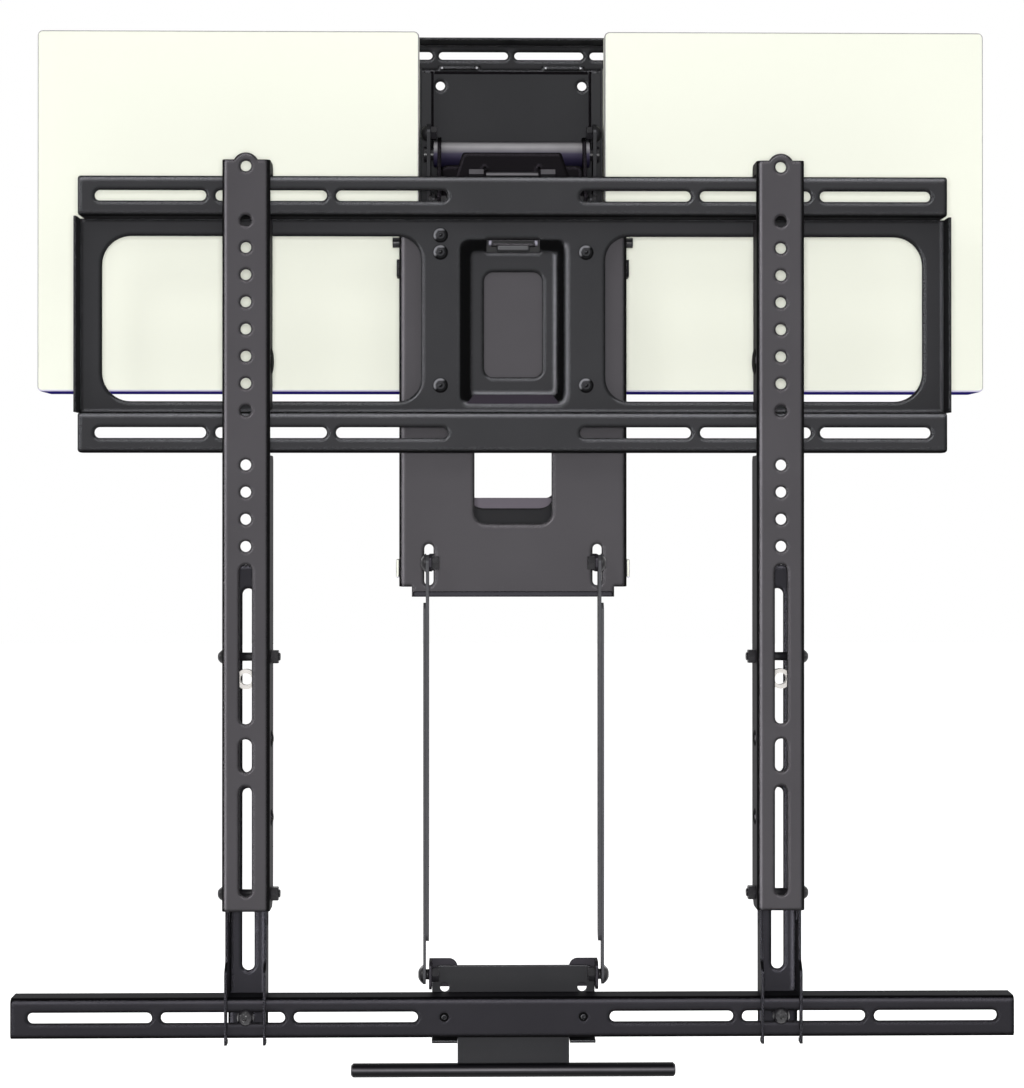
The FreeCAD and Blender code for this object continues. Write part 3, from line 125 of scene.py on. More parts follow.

# Painted shade and painted highlight bands on round bars, from their underside (0) to their top (1): dark below and at
# the top, a painted highlight between
TUBE_SHADE_BANDS = ((0.0, (20, 17, 40)), (0.25, (44, 40, 60)), (0.45, (70, 66, 84)), (0.55, (116, 114, 120)),
              (0.72, (162, 160, 163)), (0.85, (146, 144, 147)), (0.95, (60, 58, 62)), (1.0, (34, 32, 36)))
HANDLE_SHADE_BANDS = ((0.0, (6, 6, 8)), (0.4, (14, 14, 16)), (0.53, (56, 55, 58)), (0.6, (116, 114, 118)),
                (0.68, (92, 90, 94)), (0.76, (26, 25, 28)), (1.0, (6, 6, 8)))
ROD_SHADE_BANDS = ((0.0, (16, 15, 17)), (0.3, (40, 39, 42)), (0.5, (120, 118, 122)), (0.68, (110, 108, 112)),
             (0.85, (40, 39, 42)), (1.0, (22, 21, 23)))

# Cover paint, with painted shade: where the painted grey shade line round the front face's edge lies, by the normal's
# share towards the front, and the painted shade on downward faces, from straight down (0) to level (1), which sets in
# between two downward shares
RIM_SHADE_LINE = ((0.0, BLACK), (0.12, BLACK), (0.2, WHITE), (0.7, WHITE), (0.88, BLACK), (1.0, BLACK))
UNDERSIDE_SHADE_BANDS = ((0.0, COVER_UNDERSIDE_SHADE), (0.08, COVER_UNDERSIDE_SHADE), (0.2, COVER_LOWER_RIM_SHADE), (1.0, COVER_LOWER_RIM_SHADE))
UNDERSIDE_SHADE_TURN = (-0.2, -0.45)

# Powder paint, with painted light: the painted shade of flat side faces, as a share of the front's tone, and the marks
# where a bend's painted shade line and painted highlight line start and end, as the rounded normal's share towards the
# front. A bend gets the painted highlight where its normal leans to the upper left, and painted shade where it turns
# away.
FLAT_SIDE_SHADE = 0.4
FLAT_SIDE_MARKS = (0.0, 0.06)
SIDE_MARKS = (0.16, 0.9)
HIGHLIGHT_MARKS = (0.925, 0.97, 0.988)
SHADED_MARKS = (0.94, 0.98)
UPPER_LEFT = (-0.7, 0.0, 0.7)
TURN_TO_LIGHT = 0.15
BEVEL_SAMPLES = 6

# Sockets of Blender's Mix node when it blends colours
MIX_SHARE, MIX_FIRST, MIX_SECOND, MIX_RESULT = 0, 6, 7, 2


def linear(colour):
    """A screen colour as linear light."""
    values = []
    for channel in colour:
        c = channel / 255.0
        values.append(c / 12.92 if c <= 0.04045 else ((c + 0.055) / 1.055) ** 2.4)
    return (values[0], values[1], values[2], 1.0)


def scaled(colour, factor):
    return (colour[0] * factor, colour[1] * factor, colour[2] * factor, 1.0)


# Materials
def start_material(name):
    """A new material, with its nodes, links, shader and texture coordinates."""
    material = bpy.data.materials.new(name)
    material.use_nodes = True
    nodes = material.node_tree.nodes
    shader = nodes["Principled BSDF"]
    place = nodes.new("ShaderNodeTexCoord")
    return material, nodes, material.node_tree.links, shader, place


def noise(nodes, links, vector, scale, detail, roughness=0.5):
    """A soft noise at the points of a vector."""
    node = nodes.new("ShaderNodeTexNoise")
    node.inputs["Scale"].default_value = scale
    node.inputs["Detail"].default_value = detail
    node.inputs["Roughness"].default_value = roughness
    links.new(vector, node.inputs["Vector"])
    return node.outputs["Fac"]


def colour_ramp(nodes, links, source, colours):
    """A colour ramp through any number of (position, colour) marks, lowest first."""
    node = nodes.new("ShaderNodeValToRGB")
    marks = node.color_ramp.elements
    marks[0].position = colours[0][0]
    marks[1].position = colours[-1][0]
    for position, _ in colours[1:-1]:
        marks.new(position)
    for mark, (_, colour) in zip(marks, colours):
        mark.color = colour
    links.new(source, node.inputs["Fac"])
    return node.outputs["Color"]


def clouded(nodes, links, source, low, high):
    """A colour that drifts between two values over the middle range of a noise."""
    return colour_ramp(nodes, links, source, ((0.35, low), (0.65, high)))


def band_ramp(nodes, links, source, bands):
    """Screen colours along a value."""
    return colour_ramp(nodes, links, source, [(mark, linear(colour)) for mark, colour in bands])


def tone_ramp(nodes, links, source, levels, top):
    """Grey levels along a value, as shares of the highest one."""
    colours = [(position, (level / top, level / top, level / top, 1.0)) for position, level in levels]
    return colour_ramp(nodes, links, source, colours)


def grained(nodes, links, shader, grain, gloss, relief=None):
    """Roughness between two values and a relief of (strength, distance), both from one noise."""
    level = nodes.new("ShaderNodeMapRange")
    level.inputs["To Min"].default_value, level.inputs["To Max"].default_value = gloss
    links.new(grain, level.inputs["Value"])
    links.new(level.outputs["Result"], shader.inputs["Roughness"])
    if relief:
        node = nodes.new("ShaderNodeBump")
        node.inputs["Strength"].default_value, node.inputs["Distance"].default_value = relief
        links.new(grain, node.inputs["Height"])
        links.new(node.outputs["Normal"], shader.inputs["Normal"])


def split(nodes, links, vector):
    parts = nodes.new("ShaderNodeSeparateXYZ")
    links.new(vector, parts.inputs["Vector"])
    return parts.outputs


def front_share(nodes, links, parts):
    """How squarely a normal looks to the object's own front or back, from 0 to 1."""
    size = nodes.new("ShaderNodeMath")
    size.operation = "ABSOLUTE"
    links.new(parts["Y"], size.inputs[0])
    return size.outputs["Value"]


def share_between(nodes, links, value, start, end):
    """How far a value has come from start to end, from 0 to 1."""
    node = nodes.new("ShaderNodeMapRange")
    node.inputs["From Min"].default_value = start
    node.inputs["From Max"].default_value = end
    links.new(value, node.inputs["Value"])
    return node.outputs["Result"]


def mixed(nodes, links, share, first, second):
    """The first colour turning into the second, a socket or a fixed colour, as share goes from 0 to 1."""
    node = nodes.new("ShaderNodeMix")
    node.data_type = "RGBA"
    links.new(share, node.inputs[MIX_SHARE])
    links.new(first, node.inputs[MIX_FIRST])
    if isinstance(second, tuple):
        node.inputs[MIX_SECOND].default_value = second
    else:
        links.new(second, node.inputs[MIX_SECOND])
    return node.outputs[MIX_RESULT]


def multiply(nodes, links, first, second):
    node = nodes.new("ShaderNodeMix")
    node.data_type = "RGBA"
    node.blend_type = "MULTIPLY"
    node.inputs[MIX_SHARE].default_value = 1.0
    links.new(first, node.inputs[MIX_FIRST])
    links.new(second, node.inputs[MIX_SECOND])
    return node.outputs[MIX_RESULT]


def edge_normal(nodes, links, radius):
    """The object's own normal, rounded over near its edges."""
    rounded = nodes.new("ShaderNodeBevel")
    rounded.samples = BEVEL_SAMPLES
    rounded.inputs["Radius"].default_value = radius
    turn = nodes.new("ShaderNodeVectorTransform")
    turn.vector_type = "NORMAL"
    turn.convert_from = "WORLD"
    turn.convert_to = "OBJECT"
    links.new(rounded.outputs["Normal"], turn.inputs["Vector"])
    unit = nodes.new("ShaderNodeVectorMath")
    unit.operation = "NORMALIZE"
    links.new(turn.outputs["Vector"], unit.inputs[0])
    return unit.outputs["Vector"]


def powder_coat(name, colour, side=0.07, painted_highlight=9.0, bend=0.006):
    """Baked powder paint: fine orange peel, faint cloudiness and an uneven gloss, with painted shade on side faces. A
    bend has a painted highlight line where it turns to the upper left, and a painted shade line where it turns away.
    side is the tone of the painted shade and the argument after it that of the painted highlight, both as shares of
    the colour, and bend is how far they reach from the edge, in metres."""
    material, nodes, links, shader, place = start_material(name)
    base = linear(colour)
    clouds = noise(nodes, links, place.outputs["Object"], scale=9.0, detail=4.0)
    tint = clouded(nodes, links, clouds, scaled(base, 0.95 * painted_highlight), scaled(base, 1.05 * painted_highlight))
    normal = edge_normal(nodes, links, bend)
    square = front_share(nodes, links, split(nodes, links, normal))
    # Painted light: side faces get painted shade, and bends a painted highlight towards the upper left and painted
    # shade elsewhere
    flat = max(side, FLAT_SIDE_SHADE)
    sides = [(mark, flat) for mark in FLAT_SIDE_MARKS]
    lit_levels = zip(SIDE_MARKS + HIGHLIGHT_MARKS, (side, side, painted_highlight, painted_highlight, 1.0))
    lit = tone_ramp(nodes, links, square, sides + list(lit_levels), painted_highlight)
    shaded_levels = zip(SIDE_MARKS[:1] + SHADED_MARKS, (side, side, 1.0))
    shaded = tone_ramp(nodes, links, square, sides + list(shaded_levels), painted_highlight)
    towards = nodes.new("ShaderNodeVectorMath")
    towards.operation = "DOT_PRODUCT"
    towards.inputs[1].default_value = UPPER_LEFT
    links.new(normal, towards.inputs[0])
    share = share_between(nodes, links, towards.outputs["Value"], 0.0, TURN_TO_LIGHT)
    bend_light_and_shade = mixed(nodes, links, share, shaded, lit)
    links.new(multiply(nodes, links, tint, bend_light_and_shade), shader.inputs["Base Color"])
    peel = noise(nodes, links, place.outputs["Object"], scale=1400.0, detail=2.0)
    grained(nodes, links, shader, peel, gloss=(0.42, 0.54), relief=(0.25, 0.00012))
    shader.inputs["Specular IOR Level"].default_value = 0.01
    return material


def cover_paint(name):
    """Smooth cream paint on a moulded cover, with a very faint roller texture, painted grey shade on the rounded edge
    round its
    front face, and painted shade below: a lavender lower rim and a navy underside."""
    material, nodes, links, shader, place = start_material(name)
    base = linear(COVER_CREAM)
    clouds = noise(nodes, links, place.outputs["Object"], scale=4.0, detail=3.0)
    tint = clouded(nodes, links, clouds, scaled(base, 0.985), base)
    parts = split(nodes, links, place.outputs["Normal"])
    square = front_share(nodes, links, parts)
    corner = colour_ramp(nodes, links, square, RIM_SHADE_LINE)
    # painted grey shade on the front face's rounded edge
    rim = mixed(nodes, links, corner, tint, linear(COVER_RIM_SHADE))
    height = share_between(nodes, links, parts["Z"], -1.0, 0.0)
    # painted shade on downward faces: a lavender lower rim and a navy underside
    underside_shade = band_ramp(nodes, links, height, UNDERSIDE_SHADE_BANDS)
    down = share_between(nodes, links, parts["Z"], *UNDERSIDE_SHADE_TURN)
    links.new(mixed(nodes, links, down, rim, underside_shade), shader.inputs["Base Color"])
    roller = noise(nodes, links, place.outputs["Object"], scale=700.0, detail=3.0)
    grained(nodes, links, shader, roller, gloss=(0.5, 0.6), relief=(0.15, 0.0001))
    shader.inputs["Specular IOR Level"].default_value = 0.0
    return material


def round_paint(name, bands):
    """Glossy paint on a round bar, with painted shade and a painted highlight band running from its underside (0) to
    its top (1).
    """
    material, nodes, links, shader, place = start_material(name)
    parts = split(nodes, links, place.outputs["Normal"])
    turn = share_between(nodes, links, parts["Z"], -1.0, 1.0)
    # painted shade and painted highlight by how far the normal points up
    tone = band_ramp(nodes, links, turn, bands)
    clouds = noise(nodes, links, place.outputs["Object"], scale=60.0, detail=4.0)
    cloud = clouded(nodes, links, clouds, scaled(WHITE, 0.9), WHITE)
    links.new(multiply(nodes, links, tone, cloud), shader.inputs["Base Color"])
    peel = noise(nodes, links, place.outputs["Object"], scale=900.0, detail=2.0)
    grained(nodes, links, shader, peel, gloss=(0.28, 0.38), relief=(0.15, 0.00008))
    shader.inputs["Specular IOR Level"].default_value = 0.08
    return material


def black_oxide(name, colour, roughness, shine):
    """Blackened steel with small scratches."""
    material, nodes, links, shader, place = start_material(name)
    base = linear(colour)
    clouds = noise(nodes, links, place.outputs["Object"], scale=260.0, detail=3.0)
    tint = clouded(nodes, links, clouds, scaled(base, 0.75), scaled(base, 1.25))
    links.new(tint, shader.inputs["Base Color"])
    scratches = noise(nodes, links, place.outputs["Object"], scale=1800.0, detail=4.0, roughness=0.7)
    gloss = (roughness - 0.08, roughness + 0.12)
    grained(nodes, links, shader, scratches, gloss, relief=(0.12, 0.00006))
    shader.inputs["Specular IOR Level"].default_value = shine
    return material


def brushed_steel(name, colour):
    """Bare steel with fine lines across its length."""
    material, nodes, links, shader, place = start_material(name)
    base = linear(colour)
    stretch = nodes.new("ShaderNodeMapping")
    stretch.inputs["Scale"].default_value = (1.0, 1.0, 40.0)
    links.new(place.outputs["Object"], stretch.inputs["Vector"])
    lines = noise(nodes, links, stretch.outputs["Vector"], scale=120.0, detail=4.0, roughness=0.6)
    tint = clouded(nodes, links, lines, scaled(base, 0.85), scaled(base, 1.1))
    links.new(tint, shader.inputs["Base Color"])
    grained(nodes, links, shader, lines, gloss=(0.2, 0.34))
    shader.inputs["Metallic"].default_value = 1.0
    return material


def plastic(name, colour, roughness):
    """Moulded plastic or rubber with a fine grain."""
    material, nodes, links, shader, place = start_material(name)
    base = linear(colour)
    clouds = noise(nodes, links, place.outputs["Object"], scale=90.0, detail=2.0)
    tint = clouded(nodes, links, clouds, scaled(base, 0.95), scaled(base, 1.02))
    links.new(tint, shader.inputs["Base Color"])
    grain = noise(nodes, links, place.outputs["Object"], scale=2500.0, detail=2.0)
    gloss = (roughness - 0.05, roughness + 0.08)
    grained(nodes, links, shader, grain, gloss, relief=(0.2, 0.00005))
    return material


# In the powder finishes, side sets the painted shade on side faces and bends, and the tone after it the painted
# highlight on bends facing the upper left
FINISH = {
    "frame": powder_coat("frame_powder", FRAME_BLACK),
    "wall": powder_coat("wall_powder", WALL_BLACK),
    "panel": powder_coat("panel_powder", PANEL_GREY, painted_highlight=4.5),
    "channel": powder_coat("channel_powder", CHANNEL_GREY),
    "hood": powder_coat("hood_powder", HOOD_BLACK),
    "cheek": powder_coat("cheek_powder", CHEEK_GREY, side=0.5, painted_highlight=2.0, bend=0.001),
    "strap": powder_coat("strap_powder", STRAP_GREY, side=0.7, painted_highlight=1.2, bend=0.0008),
    "ear": powder_coat("ear_powder", EAR_GREY, side=0.4, painted_highlight=1.8, bend=0.0012),
    "cable": powder_coat("cable_lip_light_powder", CABLE_LIP_LIGHT, side=0.5, painted_highlight=1.2, bend=0.0009),
    "lip": powder_coat("lip_powder", HOOK_EAR_HIGHLIGHT, side=0.5, painted_highlight=1.2, bend=0.0009),
    "tab": powder_coat("tab_powder", HOOK_TAB_GREY, side=0.3, painted_highlight=1.6, bend=0.0009),
    "hem": powder_coat("hem_shade_powder", HEM_SHADE, side=0.1, painted_highlight=1.3, bend=0.0015),
    "sill": powder_coat("sill_light_powder", SILL_LIGHT, side=1.0, painted_highlight=1.2, bend=0.0005),
    "plate": powder_coat("plate_powder", FRAME_BLACK, side=0.25, bend=0.0015),
    "rail": powder_coat("rail_powder", RAIL_BLACK, painted_highlight=4.5),
    "upright": powder_coat("upright_powder", UPRIGHT_GREY, painted_highlight=4.2, bend=0.005),
    "bolt": powder_coat("black_bolt", BOLT_GREY, side=0.1, painted_highlight=6.0, bend=0.0009),
    "side_bolt": black_oxide("blackened_steel", SIDE_BOLT_BLACK, roughness=0.3, shine=0.25),
    "polished": black_oxide("polished_black", POLISHED_BLACK, roughness=0.2, shine=0.45),
    "tube": round_paint("tube_paint", TUBE_SHADE_BANDS),
    "handle": round_paint("handle_paint", HANDLE_SHADE_BANDS),
    "rod": round_paint("rod_paint", ROD_SHADE_BANDS),
    "cover": cover_paint("cover_paint"),
    "steel": brushed_steel("ground_steel", STEEL),
    "nylon": plastic("nylon", NYLON, roughness=0.45),
    "rubber": plastic("rubber", RUBBER_BLACK, roughness=0.7),
}
# Finishes of the CAD nodes. The others are bolts and pins, in the finish of side bolts.
NODE_FINISH = {
    "wall_rail_upper": "wall", "wall_rail_lower": "wall", "wall_plate": "frame",
    "cheek_left": "cheek", "cheek_right": "cheek", "cover_left": "cover", "cover_right": "cover",
    "cover_clips": "wall", "arm_bumpers": "rubber", "main_arm_left": "cheek", "main_arm_right": "cheek",
    "front_link_left": "cheek", "front_link_right": "cheek", "arm_tie_bar": "wall", "spring_anchors": "wall",
    "carrier_frame": "hood", "hood": "hood", "pivot_tube": "tube", "swivel_yoke": "wall",
    "gas_cylinder_left": "handle", "gas_cylinder_right": "handle", "gas_rod_left": "steel", "gas_rod_right": "steel",
    "front_panel": "panel", "tv_frame": "frame", "frame_spacers": "wall",
    "tv_bracket_left": "upright", "tv_bracket_right": "upright", "hood_bolt": "rod",
    "inner_channel_left": "channel", "inner_channel_right": "channel",
    "guide_ring_left": "nylon", "guide_ring_right": "nylon",
    "soundbar_rail": "rail", "handle_bracket": "plate", "handle_bar": "handle",
    "upper_strap_left": "strap", "upper_strap_right": "strap", "lower_strap_left": "strap",
    "lower_strap_right": "strap", "upper_strap_ears": "ear", "lower_strap_ears": "ear",
}
EDGE_WIDTH = 0.6 * MM
EDGE_ANGLE = 40.0


def finish_nodes():
    """Give every CAD node its material, and break its sharp edges a little."""
    for name, node in frame["nodes"].items():
        material = FINISH[NODE_FINISH.get(name, "side_bolt")]
        for slot in node.material_slots:
            slot.material = material
        soften = node.modifiers.new("edges", "BEVEL")
        soften.width = EDGE_WIDTH
        soften.segments = 2
        soften.limit_method = "ANGLE"
        soften.angle_limit = math.radians(EDGE_ANGLE)


# Mesh helpers. Every turned piece is made along its own axis and then placed.
AXES = {
    "x": Matrix(((0, 0, 1), (1, 0, 0), (0, 1, 0))),
    "-x": Matrix(((0, 0, -1), (-1, 0, 0), (0, 1, 0))),
    "-y": Matrix(((1, 0, 0), (0, 0, -1), (0, 1, 0))),
}
WELD_DISTANCE = 1e-6


def at(x, depth, z):
    """A place in metres from millimetres: across, before the wall, and up."""
    return (x * MM, -depth * MM, z * MM)


def new_piece(name, bm, finish, body):
    """A piece made of bm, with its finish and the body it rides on."""
    mesh = bpy.data.meshes.new(name)
    bmesh.ops.recalc_face_normals(bm, faces=bm.faces)
    bm.to_mesh(mesh)
    bm.free()
    piece = bpy.data.objects.new(name, mesh)
    bpy.context.scene.collection.objects.link(piece)
    mesh.materials.append(FINISH[finish])
    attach(piece, body)
    return piece


def place_verts(verts, axis, centre):
    """Turn vertices made along Z to an axis, and move them to a centre."""
    turn = AXES[axis]
    for vert in verts:
        vert.co = turn @ vert.co + Vector(centre)


def weld(bm, verts):
    """Join the vertices that lie on each other, and give back those that are left."""
    bmesh.ops.remove_doubles(bm, verts=verts, dist=WELD_DISTANCE)
    return [vert for vert in verts if vert.is_valid]


def add_ring(bm, radii, level):
    """A ring of vertices about the axis at one level, with a radius for each."""
    ring = []
    for i, radius in enumerate(radii):
        angle = FULL_TURN * i / len(radii)
        ring.append(bm.verts.new((radius * MM * math.cos(angle), radius * MM * math.sin(angle), level * MM)))
    return ring


def bridge(bm, low, high, smooth=False):
    """Faces between two rings of vertices. A ring of one vertex is a point on the axis."""
    steps = max(len(low), len(high))
    for i in range(steps):
        j = (i + 1) % steps
        corners = (low[i % len(low)], low[j % len(low)], high[j % len(high)], high[i % len(high)])
        face = bm.faces.new(tuple(dict.fromkeys(corners)))
        face.smooth = smooth


def lathe(bm, profile, axis, centre, steps=48):
    """Turn a profile of (radius, level), in millimetres, about an axis through centre, in metres."""
    rings = [add_ring(bm, [radius] * (steps if radius else 1), level) for radius, level in profile]
    for low, high in zip(rings, rings[1:]):
        bridge(bm, low, high, True)
    made = [vert for ring in rings for vert in ring]
    place_verts(made, axis, centre)
    return weld(bm, made)


def prism(bm, outlines):
    """A solid between two outlines with the same number of points, in metres."""
    rings = [[bm.verts.new(point) for point in outline] for outline in outlines]
    for ring in rings:
        bm.faces.new(ring)
    bridge(bm, *rings)


def rounded_bar(bm, low, high, radius):
    """A bar with rounded edges between two corners, in metres."""
    made = bmesh.ops.create_cube(bm, size=1.0)["verts"]
    middle = (Vector(low) + Vector(high)) / 2
    size = Vector(high) - Vector(low)
    for vert in made:
        vert.co = Vector(vert.co[i] * abs(size[i]) for i in range(3)) + middle
    edges = list({edge for vert in made for edge in vert.link_edges})
    done = bmesh.ops.bevel(bm, geom=edges, offset=radius, segments=3, profile=0.5, affect="EDGES")
    for face in done["faces"]:
        face.smooth = True


# Parts of bolts, each on a base point and along an axis
def domed_head(bm, axis, base, radius, height, socket):
    """A button head with a rounded rim and a hexagon socket sunk into its crown."""
    steps = 48
    arc_steps = 10
    foot = 0.2
    arc_start = 0.35
    deepest = max(height * 0.45, 1.2)
    big = (radius * radius + height * height) / (2 * height)
    middle = height - big
    outer = math.asin((arc_start - middle) / big)
    inner = math.acos(socket / big)
    profile = [(0.0, 0.0), (radius - foot, 0.0), (radius, foot)]
    for i in range(arc_steps + 1):
        angle = outer + (inner - outer) * i / arc_steps
        if big * math.cos(angle) < radius:
            profile.append((big * math.cos(angle), middle + big * math.sin(angle)))
    turned = lathe(bm, profile, axis, base, steps)
    rim = profile[-1][1]
    flats = []
    for i in range(steps):
        folded = (FULL_TURN * i / steps + SIXTH_TURN / 2) % SIXTH_TURN - SIXTH_TURN / 2
        flats.append(socket * 0.98 * math.cos(SIXTH_TURN / 2) / math.cos(folded))
    mouth = add_ring(bm, [socket] * steps, rim)
    bottom = add_ring(bm, flats, rim - deepest)
    bridge(bm, mouth, bottom)
    bm.faces.new(bottom)
    place_verts(mouth + bottom, axis, base)
    weld(bm, turned + mouth + bottom)


def hexagon(flats, chamfer, steps=60):
    """A hexagon's outline as a radius for each step, with its corners cut by a chamfer."""
    corner = flats / math.sqrt(3)
    radii = []
    for i in range(steps):
        folded = (FULL_TURN * i / steps) % SIXTH_TURN - SIXTH_TURN / 2
        radii.append(min(flats / 2 / math.cos(folded), corner - chamfer))
    return radii


def hex_nut(bm, axis, base, flats, height, stud_radius=0.0, stud=0.0):
    """A chamfered hexagon nut, and where stud is given the end of its bolt standing in it."""
    drop = flats / math.sqrt(3) - flats / 2
    slope = drop * 0.6
    rings = []
    for level, chamfer in ((0.0, drop), (slope, 0.0), (height - slope, 0.0), (height, drop)):
        rings.append(add_ring(bm, hexagon(flats, chamfer), level))
    for low, high in zip(rings, rings[1:]):
        bridge(bm, low, high)
    bm.faces.new(rings[0])
    bm.faces.new(rings[-1])
    place_verts([vert for ring in rings for vert in ring], axis, base)
    if stud:
        top = height + stud
        tip = 0.5
        lathe(bm, [(0, height), (stud_radius, height), (stud_radius, top - tip), (stud_radius - tip, top), (0, top)],
              axis, base, steps=32)


def shank(bm, axis, base, radius, length):
    """A bolt's stem, chamfered where it starts."""
    tip = 0.3
    lathe(bm, [(0, 0), (radius - tip, 0), (radius, tip), (radius, length), (0, length)], axis, base, steps=32)


def washer(bm, axis, base, radius, height):
    """A washer or a spacer, with its outer rim broken a little."""
    rim = min(0.3, height / 3)
    profile = [(0, 0), (radius, 0), (radius, height - rim), (radius - rim, height), (0, height)]
    lathe(bm, profile, axis, base, steps=40)


# Turned and domed pieces, in place of the plain solids
def box_middle_and_half(node):
    """The middle of a node's box in metres, and half its width in millimetres."""
    low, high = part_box(node)
    return (Vector(low) + Vector(high)) / 2, (high[0] - low[0]) / 2 / MM


def handle_bar():
    """The grip: a round bar with chamfered ends."""
    radius = 6.5
    chamfer = 1.8
    soft = 0.5
    rise = 0.1
    ease = 0.15
    middle, half = box_middle_and_half("handle_bar")
    profile = [(0, -half), (radius - chamfer - soft, -half), (radius - chamfer, -half + rise),
               (radius - ease, -half + chamfer), (radius, -half + chamfer + soft)]
    profile += [(r, -level) for r, level in reversed(profile)]
    bm = bmesh.new()
    lathe(bm, profile, "x", middle, steps=64)
    piece = new_piece("handle_bar_turned", bm, "handle", "soundbar_stage")
    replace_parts(piece, "handle_bar")


def pivot_tube():
    """The hollow tube across the carrier."""
    radius = 12.5
    bore = 6.1
    chamfer = 0.8
    middle, half = box_middle_and_half("pivot_tube")
    profile = [(bore, -half), (radius - chamfer, -half), (radius, -half + chamfer), (radius, half - chamfer),
               (radius - chamfer, half), (bore, half), (bore, -half)]
    bm = bmesh.new()
    lathe(bm, profile, "x", middle, steps=72)
    piece = new_piece("pivot_tube_turned", bm, "tube", "carrier")
    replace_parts(piece, "pivot_tube")


# Faces that bolts sit on, as depths, and places of bolts. FRAME_BOLTS has (x, height), BRACKET_BOLTS heights,
# HOOK_RIVETS x, the two places (depth, height), BUMPS (height, radius), BUMP_DOME (share of the radius, level), and
# STRAP_BOLTS (node, body, height, x of the heads, whether spaced).
FRAME_FACE = 117.5
FRAME_NUT_FACE = 99.5
FRAME_BOLTS = ((-68.0, -53.3), (68.0, -53.3), (-68.0, -177.6), (68.0, -177.6), (-68.0, -37.4))
RAIL_FACE = 144.0
RAIL_BOLT_X = 64.0
RAIL_AXIS = -760.3
RAIL_SPACER_FACE = 121.5
RAIL_NUT_FACE = 115.0
CLAMP_GAP = 0.06
CLAMP_NUT_FACE = 111.5
BRACKET_X = 246.5
BRACKET_HALF_WIDTH = 22.0
BRACKET_BOLTS = (-429.7, -648.7)
BRACKET_BOLT_DEPTH = 131.0
BUMP_DEPTH = 127.0
BUMPS = ((-156.0, 13.0), (-506.0, 8.0), (-579.0, 8.0))
BUMP_DOME = ((1.0, -0.2), (0.95, 0.25), (0.8, 0.9), (0.55, 1.6), (0.25, 2.0), (0, 2.1))
STRAP_DEPTH = 128.5
STRAP_STEM_X = 69.0
STRAP_NUT_X = 75.8
STRAP_WASHER_X = 78.3
STRAP_BOLTS = (("upper_strap_bolts", "tilt", -343.0, 81.2, False),
               ("lower_strap_bolts", "soundbar_stage", -724.5, 83.6, True))
STOP_BOLT_PLACE = (32.0, 73.5)
STOP_HEAD_X = 82.5
STOP_STEM_X = 73.0
STOP_NUT_X = 79.0
HOOK_RIVETS = (-68.5, -34.0, 34.0, 68.5)
HOOK_RIVET_PLACE = (9.5, 142.6)
OUTWARD_AND_BACK = (("x", "-x", 1), ("-x", "x", -1))


def frame_bolts():
    """Bolts through the frame's dish: washer and small hexagon head in front, nut behind."""
    washer_height = 1.2
    head_height = 3.0
    stem = 1.9
    proud = 0.02
    bm = bmesh.new()
    for x, z in FRAME_BOLTS:
        nut = at(x, FRAME_NUT_FACE, z)
        washer(bm, "-y", at(x, FRAME_FACE, z), radius=7.0, height=washer_height)
        head = at(x, FRAME_FACE + washer_height, z)
        hex_nut(bm, "-y", head, flats=8.0, height=head_height)
        lathe(bm, [(0, head_height - proud), (stem, head_height - proud), (stem - 0.2, head_height + proud),
                   (0, head_height + proud)], "-y", head, steps=24)
        shank(bm, "-y", nut, radius=3.0, length=FRAME_FACE - FRAME_NUT_FACE)
        hex_nut(bm, "-y", nut, flats=10.0, height=5.0)
    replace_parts(new_piece("frame_bolts_turned", bm, "bolt", "tilt"), "frame_bolts")


def rail_bolts():
    """Bolts that hold the handle bracket to the soundbar rail, with their spacers."""
    bm = bmesh.new()
    for side in BOTH_SIDES:
        x = side * RAIL_BOLT_X
        nut = at(x, RAIL_NUT_FACE, RAIL_AXIS)
        domed_head(bm, "-y", at(x, RAIL_FACE, RAIL_AXIS), radius=4.2, height=2.0, socket=1.6)
        washer(bm, "-y", at(x, RAIL_SPACER_FACE, RAIL_AXIS), radius=5.0, height=20.0)
        shank(bm, "-y", nut, radius=2.5, length=28.0)
        hex_nut(bm, "-y", nut, flats=8.0, height=4.0)
    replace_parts(new_piece("rail_bolts_turned", bm, "bolt", "soundbar_stage"), "rail_bolts")


def clamp_bolt(side, x):
    """The bolt that clamps the rail to an upright's inner channel, just clear of the rail's face."""
    bm = bmesh.new()
    nut = at(x, CLAMP_NUT_FACE, RAIL_AXIS)
    seat = at(x, RAIL_FACE + CLAMP_GAP, RAIL_AXIS)
    domed_head(bm, "-y", seat, radius=7.8, height=5.8 - CLAMP_GAP, socket=1.9)
    shank(bm, "-y", nut, radius=4.0, length=RAIL_FACE - CLAMP_NUT_FACE)
    hex_nut(bm, "-y", nut, flats=13.0, height=7.0)
    piece = new_piece("rail_clamp_turned_" + side, bm, "polished", "inner_" + side)
    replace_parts(piece, "rail_clamp_" + side)


